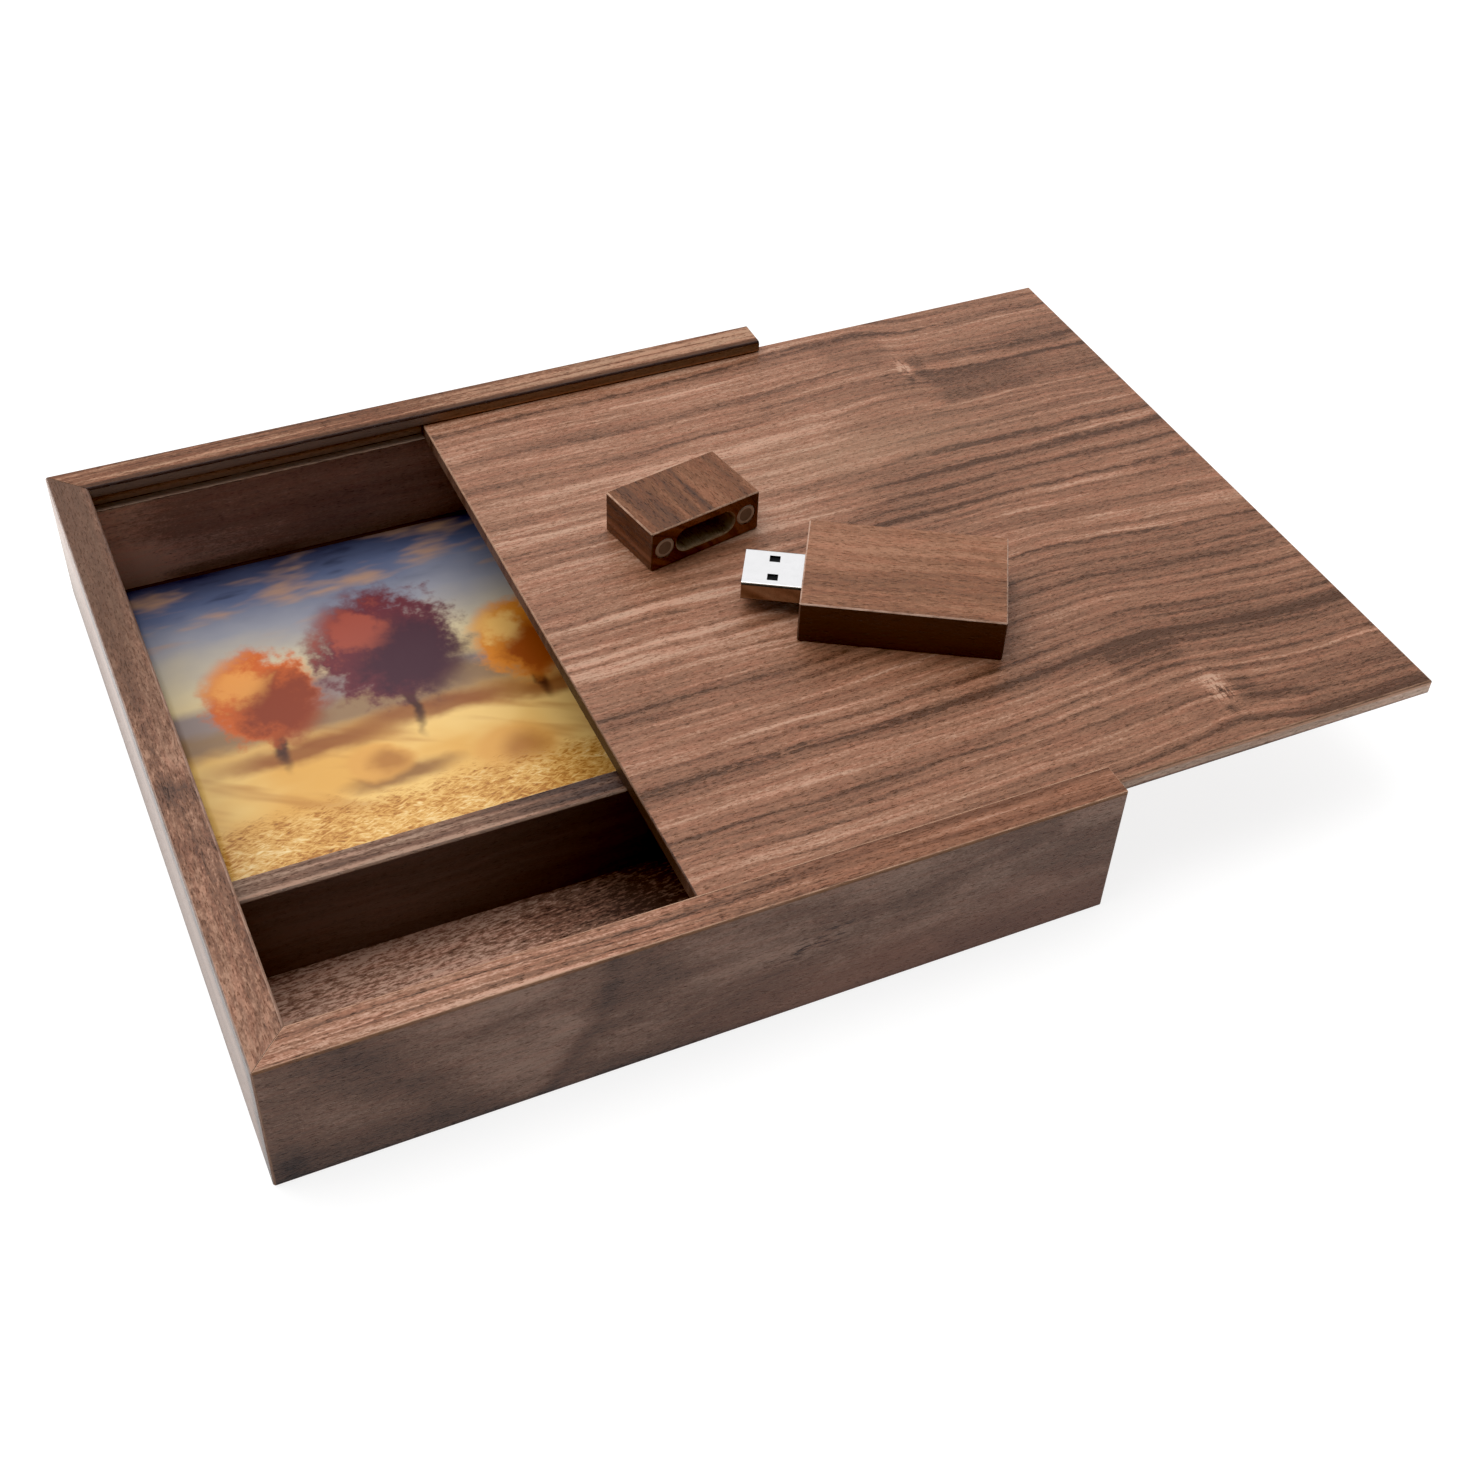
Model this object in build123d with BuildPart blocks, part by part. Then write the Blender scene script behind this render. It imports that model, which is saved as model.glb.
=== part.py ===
from build123d import *
import math
import os

# Walnut photo box with a sliding lid, a stack of prints, and a capped wooden USB drive that lies on the lid.
# Millimetres, +Z up. Origin: centre of the box's underside. +X: the way the lid slides open.
# +Y: from the drive slot at the front to the back wall.

# ---------------------------------------------------------------- box
BOX_X = 172.0            # along the lid's travel
BOX_Y = 177.0            # front to back
BOX_Z = 33.0             # wall height
WALL = 8.0               # wall thickness
ARRIS = 0.4              # eased edge of the walls
BOTTOM_T = 3.0           # bottom panel
REBATE = 4.0             # how far the bottom panel reaches under the walls
GROOVE_LOW = 26.4        # lid groove, bottom and top
GROOVE_TOP = 30.3
GROOVE_DEPTH = 2.5
END_RABBET = 2.0         # how far the low end wall is let into the front and back walls

DIVIDER_Y0 = 44.1        # divider's front and back face, from the box's front face
DIVIDER_Y1 = 50.1
DIVIDER_TOP = 25.8
HOUSING = 2.0            # how far the divider is let into the end walls

# ---------------------------------------------------------------- lid
LID_BOTTOM = 26.5
LID_TOP = 30.1
LID_EDGE = 5.8           # from the box's front or back face to the lid's long edge
LID_LEN = 166.2
LID_OPEN = 79.2          # how far it stands open here
LID_ARRIS = 0.25

# ---------------------------------------------------------------- prints, 6 in by 4 in
PRINT_X = 152.0
PRINT_Y = 102.0
PRINT_T = 0.25
LOWER_PRINTS = 4
PRINT_FAR_GAP = 2.7      # from the back wall's inner face
PRINT_LEFT_GAP = 2.2     # from the closed end wall's inner face

# ---------------------------------------------------------------- USB drive
DRIVE_X = 140.292 - BOX_X / 2    # centre of the drive's plug-end face
DRIVE_Y = 79.400 - BOX_Y / 2
DRIVE_TURN = math.degrees(-0.530177)   # direction from the plug end to the far end
DRIVE_LEN = 43.0
DRIVE_W = 28.6
DRIVE_H = 10.2
DRIVE_ARRIS = 0.3
CAVITY_W = 15.2          # room for the circuit board
CAVITY_END = 36.2
LEDGE_Z = 4.25           # the board's seat

PLUG_W = 12.0            # type A plug
PLUG_H = 4.5
PLUG_OUT = 12.8
PLUG_IN = 6.0
PLUG_T = 0.3
PLUG_HOLE_X = 2.3
PLUG_HOLE_Y = 2.1
PLUG_HOLE_AT = 6.4       # from the plug's root to the holes' centres
PLUG_HOLE_OFF = 3.1      # from the plug's centreline
TONGUE_T = 1.9
TONGUE_GAP = 0.09        # clears the shell's rounded corners
TONGUE_W = PLUG_W - 2 * PLUG_T - 0.24

# ---------------------------------------------------------------- cap
CAP_X = 127.720 - BOX_X / 2      # centre of the cap's mouth face
CAP_Y = 102.086 - BOX_Y / 2
CAP_TURN = math.degrees(1.767248)      # direction from the mouth to the closed end
CAP_LEN = 18.0
RECESS_W = 15.2
RECESS_H = 5.4
RECESS_DEPTH = 13.3
RECESS_RIM = 0.4

# ---------------------------------------------------------------- magnets, 5 mm by 2 mm discs
MAGNET_R = 2.5
MAGNET_T = 2.0
MAGNET_OFF = 10.8
MAGNET_CLEAR = 0.05

os.makedirs("parts", exist_ok=True)

X0, X1 = -BOX_X / 2, BOX_X / 2
Y0, Y1 = -BOX_Y / 2, BOX_Y / 2
LID_X0 = X1 - LID_LEN + LID_OPEN
LID_Y0 = Y0 + LID_EDGE
LID_Y1 = Y1 - LID_EDGE
MID_H = DRIVE_H / 2


def rect(x0, x1, y0, y1):
    """A rectangle by its corners, in the sketch that is open."""
    with Locations(((x0 + x1) / 2, (y0 + y1) / 2)):
        Rectangle(x1 - x0, y1 - y0)


def finish(builder, label):
    builder.part.label = label
    export_step(builder.part, f"parts/{label}.step")


# ================================================================ front wall
# Mitred at the closed end, square at the open end, where the lid's groove runs out.
with BuildPart() as front_wall:
    with BuildSketch(Plane.XY):
        with BuildLine():
            Polyline(
                (X0 + ARRIS, Y0),
                (X1, Y0),
                (X1, Y0 + WALL),
                (X0 + WALL, Y0 + WALL),
                (X0 + ARRIS / 2, Y0 + ARRIS / 2),
                close=True,
            )
        make_face()
    extrude(amount=BOX_Z)
    long_edges = front_wall.edges().filter_by(Axis.X).group_by(Axis.Z)
    end_edges = front_wall.faces().sort_by(Axis.X)[-1].edges().filter_by(Axis.Z).sort_by(Axis.Y)
    chamfer(long_edges[-1] + [long_edges[0].sort_by(Axis.Y)[0]] + [end_edges[0]], length=ARRIS)
    with BuildSketch(Plane.XY.offset(GROOVE_LOW)):
        rect(X0 + WALL - GROOVE_DEPTH, X1 + 1, Y0 + WALL - GROOVE_DEPTH, Y0 + WALL + 1)
    extrude(amount=GROOVE_TOP - GROOVE_LOW, mode=Mode.SUBTRACT)
    with BuildSketch(Plane.XY):
        rect(X0 + REBATE, X1 - REBATE, Y0 + REBATE, Y0 + WALL + 1)
    extrude(amount=BOTTOM_T, mode=Mode.SUBTRACT)
    with BuildSketch(Plane.XY):
        rect(X1 - WALL, X1 + 1, Y0 + WALL - END_RABBET, Y0 + WALL + 1)
    extrude(amount=GROOVE_LOW, mode=Mode.SUBTRACT)
finish(front_wall, "front_wall")

# ================================================================ back wall
with BuildPart() as back_wall:
    with BuildSketch(Plane.XY):
        with BuildLine():
            Polyline(
                (X0 + ARRIS, Y1),
                (X1, Y1),
                (X1, Y1 - WALL),
                (X0 + WALL, Y1 - WALL),
                (X0 + ARRIS / 2, Y1 - ARRIS / 2),
                close=True,
            )
        make_face()
    extrude(amount=BOX_Z)
    long_edges = back_wall.edges().filter_by(Axis.X).group_by(Axis.Z)
    end_edges = back_wall.faces().sort_by(Axis.X)[-1].edges().filter_by(Axis.Z).sort_by(Axis.Y)
    chamfer(long_edges[-1] + [long_edges[0].sort_by(Axis.Y)[-1]] + [end_edges[-1]], length=ARRIS)
    with BuildSketch(Plane.XY.offset(GROOVE_LOW)):
        rect(X0 + WALL - GROOVE_DEPTH, X1 + 1, Y1 - WALL - 1, Y1 - WALL + GROOVE_DEPTH)
    extrude(amount=GROOVE_TOP - GROOVE_LOW, mode=Mode.SUBTRACT)
    with BuildSketch(Plane.XY):
        rect(X0 + REBATE, X1 - REBATE, Y1 - WALL - 1, Y1 - REBATE)
    extrude(amount=BOTTOM_T, mode=Mode.SUBTRACT)
    with BuildSketch(Plane.XY):
        rect(X1 - WALL, X1 + 1, Y1 - WALL - 1, Y1 - WALL + END_RABBET)
    extrude(amount=GROOVE_LOW, mode=Mode.SUBTRACT)
finish(back_wall, "back_wall")

# ================================================================ closed end wall
# Mitred at both ends. The lid's end enters its groove when the box is closed.
with BuildPart() as closed_end_wall:
    with BuildSketch(Plane.XY):
        with BuildLine():
            Polyline(
                (X0, Y0 + ARRIS),
                (X0 + ARRIS / 2, Y0 + ARRIS / 2),
                (X0 + WALL, Y0 + WALL),
                (X0 + WALL, Y1 - WALL),
                (X0 + ARRIS / 2, Y1 - ARRIS / 2),
                (X0, Y1 - ARRIS),
                close=True,
            )
        make_face()
    extrude(amount=BOX_Z)
    long_edges = closed_end_wall.edges().filter_by(Axis.Y).group_by(Axis.Z)
    chamfer(long_edges[-1] + [long_edges[0].sort_by(Axis.X)[0]], length=ARRIS)
    with BuildSketch(Plane.XY.offset(GROOVE_LOW)):
        rect(X0 + WALL - GROOVE_DEPTH, X0 + WALL + 1, Y0 + WALL - GROOVE_DEPTH, Y1 - WALL + GROOVE_DEPTH)
    extrude(amount=GROOVE_TOP - GROOVE_LOW, mode=Mode.SUBTRACT)
    with BuildSketch(Plane.XY):
        rect(X0 + REBATE, X0 + WALL + 1, Y0 + REBATE, Y1 - REBATE)
    extrude(amount=BOTTOM_T, mode=Mode.SUBTRACT)
    with BuildSketch(Plane.XY.offset(BOTTOM_T)):
        rect(X0 + WALL - HOUSING, X0 + WALL + 1, Y0 + DIVIDER_Y0, Y0 + DIVIDER_Y1)
    extrude(amount=GROOVE_LOW - BOTTOM_T, mode=Mode.SUBTRACT)
finish(closed_end_wall, "closed_end_wall")

# ================================================================ open end wall
# Low, so that the lid slides out over it.
with BuildPart() as open_end_wall:
    with BuildSketch(Plane.XY):
        rect(X1 - WALL, X1, Y0 + WALL - END_RABBET, Y1 - WALL + END_RABBET)
    extrude(amount=GROOVE_LOW)
    with BuildSketch(Plane.XY):
        rect(X1 - WALL - 1, X1 - REBATE, Y0, Y1)
    extrude(amount=BOTTOM_T, mode=Mode.SUBTRACT)
    with BuildSketch(Plane.XY.offset(BOTTOM_T)):
        rect(X1 - WALL - 1, X1 - WALL + HOUSING, Y0 + DIVIDER_Y0, Y0 + DIVIDER_Y1)
    extrude(amount=GROOVE_LOW, mode=Mode.SUBTRACT)
    chamfer(open_end_wall.edges().filter_by(Axis.Y).group_by(Axis.Z)[-1].sort_by(Axis.X)[-1], length=ARRIS)
finish(open_end_wall, "open_end_wall")

# ================================================================ bottom panel
with BuildPart() as bottom_panel:
    with BuildSketch(Plane.XY):
        rect(X0 + REBATE, X1 - REBATE, Y0 + REBATE, Y1 - REBATE)
    extrude(amount=BOTTOM_T)
finish(bottom_panel, "bottom_panel")

# ================================================================ divider
with BuildPart() as divider:
    with BuildSketch(Plane.XY.offset(BOTTOM_T)):
        rect(X0 + WALL - HOUSING, X1 - WALL + HOUSING, Y0 + DIVIDER_Y0, Y0 + DIVIDER_Y1)
    extrude(amount=DIVIDER_TOP - BOTTOM_T)
    chamfer(divider.edges().filter_by(Axis.X).group_by(Axis.Z)[-1], length=ARRIS)
finish(divider, "divider")

# ================================================================ sliding lid
with BuildPart() as sliding_lid:
    with BuildSketch(Plane.XY.offset(LID_BOTTOM)):
        rect(LID_X0, LID_X0 + LID_LEN, LID_Y0, LID_Y1)
    extrude(amount=LID_TOP - LID_BOTTOM)
    lid_edges = sliding_lid.edges().group_by(Axis.Z)
    chamfer(lid_edges[-1] + lid_edges[0], length=LID_ARRIS)
finish(sliding_lid, "sliding_lid")

# ================================================================ prints
PRINT_CX = X0 + WALL + PRINT_LEFT_GAP + PRINT_X / 2
PRINT_CY = Y1 - WALL - PRINT_FAR_GAP - PRINT_Y / 2
SHIFTS = ((0.9, -0.7, 0.35), (-0.6, 0.5, -0.3), (1.1, 0.3, 0.2), (-0.4, -0.9, -0.15))
with BuildPart() as lower_prints:
    for i in range(LOWER_PRINTS):
        dx, dy, turn = SHIFTS[i]
        with BuildSketch(Plane.XY.offset(BOTTOM_T + i * PRINT_T)):
            with Locations(Location((PRINT_CX + dx, PRINT_CY + dy, 0), (0, 0, turn))):
                Rectangle(PRINT_X, PRINT_Y)
        extrude(amount=PRINT_T - 0.01)
finish(lower_prints, "lower_prints")

with BuildPart() as top_print:
    with BuildSketch(Plane.XY.offset(BOTTOM_T + LOWER_PRINTS * PRINT_T)):
        with Locations((PRINT_CX, PRINT_CY)):
            Rectangle(PRINT_X, PRINT_Y)
    extrude(amount=PRINT_T)
finish(top_print, "top_print")

# ================================================================ USB drive
# Its own axes: x from the plug-end face to the far end, z up from the lid's top.
turn = math.radians(DRIVE_TURN)
drive = Plane(
    origin=(DRIVE_X, DRIVE_Y, LID_TOP),
    x_dir=(math.cos(turn), math.sin(turn), 0),
    z_dir=(0, 0, 1),
)
drive_along = Vector(math.cos(turn), math.sin(turn), 0)
drive_across = Vector(-math.sin(turn), math.cos(turn), 0)
# Sketches on the plug-end face: x across the drive, y up.
drive_face = Plane(origin=(DRIVE_X, DRIVE_Y, LID_TOP + MID_H), x_dir=drive_across, z_dir=drive_along)

with BuildPart() as drive_body_lower:
    with BuildSketch(drive):
        rect(0, DRIVE_LEN, -DRIVE_W / 2, DRIVE_W / 2)
    extrude(amount=MID_H)
    chamfer(
        drive_body_lower.faces().sort_by(Axis.Z)[0].edges() + drive_body_lower.edges().filter_by(Axis.Z),
        length=DRIVE_ARRIS,
    )
    # board seat, and the deeper pocket under it
    with BuildSketch(drive.offset(LEDGE_Z)):
        rect(PLUG_IN, CAVITY_END, -CAVITY_W / 2, CAVITY_W / 2)
    extrude(amount=DRIVE_H, mode=Mode.SUBTRACT)
    with BuildSketch(drive.offset(1.6)):
        rect(PLUG_IN + 2, CAVITY_END - 2, -CAVITY_W / 2 + 0.8, CAVITY_W / 2 - 0.8)
    extrude(amount=DRIVE_H, mode=Mode.SUBTRACT)
    # the plug's slot and the magnets' holes, cut across the joint line
    with BuildSketch(drive_face.offset(-1)):
        Rectangle(PLUG_W, PLUG_H)
    extrude(amount=PLUG_IN + 1.05, mode=Mode.SUBTRACT)
    with BuildSketch(drive_face.offset(-1)):
        with Locations((-MAGNET_OFF, 0), (MAGNET_OFF, 0)):
            Circle(MAGNET_R + MAGNET_CLEAR)
    extrude(amount=1 + MAGNET_T + 0.1, mode=Mode.SUBTRACT)
finish(drive_body_lower, "drive_body_lower")

with BuildPart() as drive_body_upper:
    with BuildSketch(drive.offset(MID_H)):
        rect(0, DRIVE_LEN, -DRIVE_W / 2, DRIVE_W / 2)
    extrude(amount=MID_H)
    chamfer(
        drive_body_upper.faces().sort_by(Axis.Z)[-1].edges() + drive_body_upper.edges().filter_by(Axis.Z),
        length=DRIVE_ARRIS,
    )
    with BuildSketch(drive):
        rect(PLUG_IN, CAVITY_END, -CAVITY_W / 2, CAVITY_W / 2)
    extrude(amount=DRIVE_H - 1.6, mode=Mode.SUBTRACT)
    with BuildSketch(drive_face.offset(-1)):
        Rectangle(PLUG_W, PLUG_H)
    extrude(amount=PLUG_IN + 1.05, mode=Mode.SUBTRACT)
    with BuildSketch(drive_face.offset(-1)):
        with Locations((-MAGNET_OFF, 0), (MAGNET_OFF, 0)):
            Circle(MAGNET_R + MAGNET_CLEAR)
    extrude(amount=1 + MAGNET_T + 0.1, mode=Mode.SUBTRACT)
finish(drive_body_upper, "drive_body_upper")

# The plug's rolled steel shell, with a pair of square catch holes on each broad side.
with BuildPart() as plug_shell:
    with BuildSketch(drive_face.offset(-PLUG_OUT)):
        RectangleRounded(PLUG_W, PLUG_H, 0.6)
    extrude(amount=PLUG_OUT + PLUG_IN)
    with BuildSketch(drive_face.offset(-PLUG_OUT - 1)):
        RectangleRounded(PLUG_W - 2 * PLUG_T, PLUG_H - 2 * PLUG_T, 0.3)
    extrude(amount=PLUG_OUT + PLUG_IN + 2, mode=Mode.SUBTRACT)
    with BuildSketch(drive.offset(MID_H - PLUG_H)):
        with Locations((-PLUG_HOLE_AT, -PLUG_HOLE_OFF), (-PLUG_HOLE_AT, PLUG_HOLE_OFF)):
            Rectangle(PLUG_HOLE_X, PLUG_HOLE_Y)
    extrude(amount=2 * PLUG_H, mode=Mode.SUBTRACT)
finish(plug_shell, "plug_shell")

# The plastic tongue that carries the contacts fills the upper half of the shell, right under its catch holes.
TONGUE_Z1 = MID_H + PLUG_H / 2 - PLUG_T
TONGUE_Z0 = TONGUE_Z1 - TONGUE_T
SHELL_FLOOR = MID_H - PLUG_H / 2 + PLUG_T
CONTACT_T = 0.10
BOARD_T = 0.8
with BuildPart() as plug_tongue:
    with BuildSketch(drive.offset(TONGUE_Z0)):
        rect(-PLUG_OUT + 0.5, 3.0, -TONGUE_W / 2, TONGUE_W / 2)
    extrude(amount=TONGUE_T - TONGUE_GAP)
    chamfer(
        plug_tongue.faces().sort_by(Axis(origin=(0, 0, 0), direction=drive_along))[0].edges().filter_by(Plane.XY),
        length=0.35,
    )
    # a low step behind the contacts closes the shell's rear
    with BuildSketch(drive.offset(SHELL_FLOOR + TONGUE_GAP)):
        rect(0.0, 3.0, -TONGUE_W / 2, TONGUE_W / 2)
    extrude(amount=TONGUE_Z0 - SHELL_FLOOR - TONGUE_GAP)
    # four shallow beds for the contacts, through the step too
    with BuildSketch(drive.offset(TONGUE_Z0 - CONTACT_T - 0.02)):
        for off in (-3.5, -1.0, 1.0, 3.5):
            rect(-PLUG_OUT + 1.3, 4.0, off - 0.55, off + 0.55)
    extrude(amount=CONTACT_T + 0.04, mode=Mode.SUBTRACT)
finish(plug_tongue, "plug_tongue")

with BuildPart() as plug_contacts:
    with BuildSketch(drive.offset(TONGUE_Z0 - CONTACT_T)):
        for off in (-3.5, -1.0, 1.0, 3.5):
            rect(-PLUG_OUT + 1.6, 5.5, off - 0.5, off + 0.5)
    extrude(amount=CONTACT_T)
finish(plug_contacts, "plug_contacts")

# The contacts' tails lie on the board.
BOARD_Z1 = TONGUE_Z0 - CONTACT_T
BOARD_Z0 = LEDGE_Z + 0.0
with BuildPart() as circuit_board:
    with BuildSketch(drive.offset(BOARD_Z0)):
        rect(3.1, PLUG_IN + 0.5, -PLUG_W / 2 + PLUG_T + 0.3, PLUG_W / 2 - PLUG_T - 0.3)
        rect(PLUG_IN + 0.1, CAVITY_END - 0.2, -CAVITY_W / 2 + 0.1, CAVITY_W / 2 - 0.1)
    extrude(amount=BOARD_Z1 - BOARD_Z0)
finish(circuit_board, "circuit_board")

# The memory chip lies on the board, the controller and the crystal under it.
with BuildPart() as memory_chip:
    with BuildSketch(drive.offset(BOARD_Z1)):
        rect(11.5, 29.9, -6.0, 6.0)
    extrude(amount=1.0)
    chamfer(memory_chip.faces().sort_by(Axis.Z)[-1].edges(), length=0.15)
finish(memory_chip, "memory_chip")

with BuildPart() as controller_chip:
    with BuildSketch(drive.offset(BOARD_Z0 - 1.4)):
        rect(11.0, 18.0, -4.5, 2.5)
    extrude(amount=1.4)
    chamfer(controller_chip.faces().sort_by(Axis.Z)[0].edges(), length=0.15)
finish(controller_chip, "controller_chip")

with BuildPart() as crystal_can:
    with BuildSketch(drive.offset(BOARD_Z0 - 1.2)):
        with Locations((23.5, 2.5)):
            RectangleRounded(5.0, 3.2, 0.5)
    extrude(amount=1.2)
finish(crystal_can, "crystal_can")

with BuildPart() as board_components:
    with BuildSketch(drive.offset(BOARD_Z0 - 0.5)):
        for x, y in ((9.3, 4.6), (9.3, 2.8), (20.0, -4.6), (22.2, -4.6), (20.0, -2.6), (28.5, 3.2), (28.5, 1.4), (30.6, -3.0)):
            rect(x - 0.5, x + 0.5, y - 0.3, y + 0.3)
    extrude(amount=0.5)
finish(board_components, "board_components")

with BuildPart() as drive_magnets:
    with BuildSketch(drive_face.offset(0.05)):
        with Locations((-MAGNET_OFF, 0), (MAGNET_OFF, 0)):
            Circle(MAGNET_R)
    extrude(amount=MAGNET_T)
finish(drive_magnets, "drive_magnets")

# ================================================================ cap
turn = math.radians(CAP_TURN)
cap = Plane(
    origin=(CAP_X, CAP_Y, LID_TOP),
    x_dir=(math.cos(turn), math.sin(turn), 0),
    z_dir=(0, 0, 1),
)
cap_along = Vector(math.cos(turn), math.sin(turn), 0)
cap_across = Vector(-math.sin(turn), math.cos(turn), 0)
cap_face = Plane(origin=(CAP_X, CAP_Y, LID_TOP + MID_H), x_dir=cap_across, z_dir=cap_along)

with BuildPart() as cap_block:
    with BuildSketch(cap):
        rect(0, CAP_LEN, -DRIVE_W / 2, DRIVE_W / 2)
    extrude(amount=DRIVE_H)
    chamfer(cap_block.edges(), length=DRIVE_ARRIS)
    # the plug's recess, a stadium in section, with a bevelled rim
    with BuildSketch(cap_face):
        SlotOverall(RECESS_W, RECESS_H)
    extrude(amount=RECESS_DEPTH, mode=Mode.SUBTRACT)
    with BuildSketch(cap_face):
        SlotOverall(RECESS_W + 2 * RECESS_RIM, RECESS_H + 2 * RECESS_RIM)
    with BuildSketch(cap_face.offset(RECESS_RIM)):
        SlotOverall(RECESS_W, RECESS_H)
    loft(mode=Mode.SUBTRACT)
    with BuildSketch(cap_face.offset(-1)):
        with Locations((-MAGNET_OFF, 0), (MAGNET_OFF, 0)):
            Circle(MAGNET_R + MAGNET_CLEAR)
    extrude(amount=1 + MAGNET_T + 0.1, mode=Mode.SUBTRACT)
finish(cap_block, "cap_block")

with BuildPart() as cap_magnets:
    with BuildSketch(cap_face.offset(0.05)):
        with Locations((-MAGNET_OFF, 0), (MAGNET_OFF, 0)):
            Circle(MAGNET_R)
    extrude(amount=MAGNET_T)
finish(cap_magnets, "cap_magnets")
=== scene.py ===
import math

import bmesh
import bpy
from mathutils import Matrix, Vector


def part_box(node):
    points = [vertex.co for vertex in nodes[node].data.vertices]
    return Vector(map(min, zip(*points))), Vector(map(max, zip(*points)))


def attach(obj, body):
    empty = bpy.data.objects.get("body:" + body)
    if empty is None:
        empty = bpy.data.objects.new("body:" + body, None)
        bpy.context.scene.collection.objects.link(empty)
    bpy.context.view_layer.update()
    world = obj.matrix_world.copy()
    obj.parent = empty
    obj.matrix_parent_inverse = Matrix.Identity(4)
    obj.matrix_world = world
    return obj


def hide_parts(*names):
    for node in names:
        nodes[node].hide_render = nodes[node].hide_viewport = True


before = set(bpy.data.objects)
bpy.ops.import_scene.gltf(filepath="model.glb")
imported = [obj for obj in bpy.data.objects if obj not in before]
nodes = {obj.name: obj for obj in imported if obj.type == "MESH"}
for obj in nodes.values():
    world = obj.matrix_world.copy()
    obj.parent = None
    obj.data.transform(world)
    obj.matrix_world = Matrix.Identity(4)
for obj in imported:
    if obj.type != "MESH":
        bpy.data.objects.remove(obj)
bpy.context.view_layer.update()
MM = 0.001


def lin(r, g, b, k=1.0):
    """An 8-bit display colour as a linear RGBA tuple, times k."""
    def one(c):
        c = c / 255.0
        return (c / 12.92 if c <= 0.04045 else ((c + 0.055) / 1.055) ** 2.4) * k
    return (one(r), one(g), one(b), 1.0)


# ---------------------------------------------------------------- shader graphs written as sums
class Sock:
    """A node's output socket that can be added, multiplied and so on."""

    def __init__(self, g, s):
        self.g, self.s = g, s

    def __add__(self, o):
        return self.g.m("ADD", self, o)

    def __radd__(self, o):
        return self.g.m("ADD", o, self)

    def __sub__(self, o):
        return self.g.m("SUBTRACT", self, o)

    def __rsub__(self, o):
        return self.g.m("SUBTRACT", o, self)

    def __mul__(self, o):
        return self.g.m("MULTIPLY", self, o)

    def __rmul__(self, o):
        return self.g.m("MULTIPLY", o, self)

    def __truediv__(self, o):
        return self.g.m("DIVIDE", self, o)

    def __neg__(self):
        return self.g.m("MULTIPLY", self, -1.0)


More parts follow.
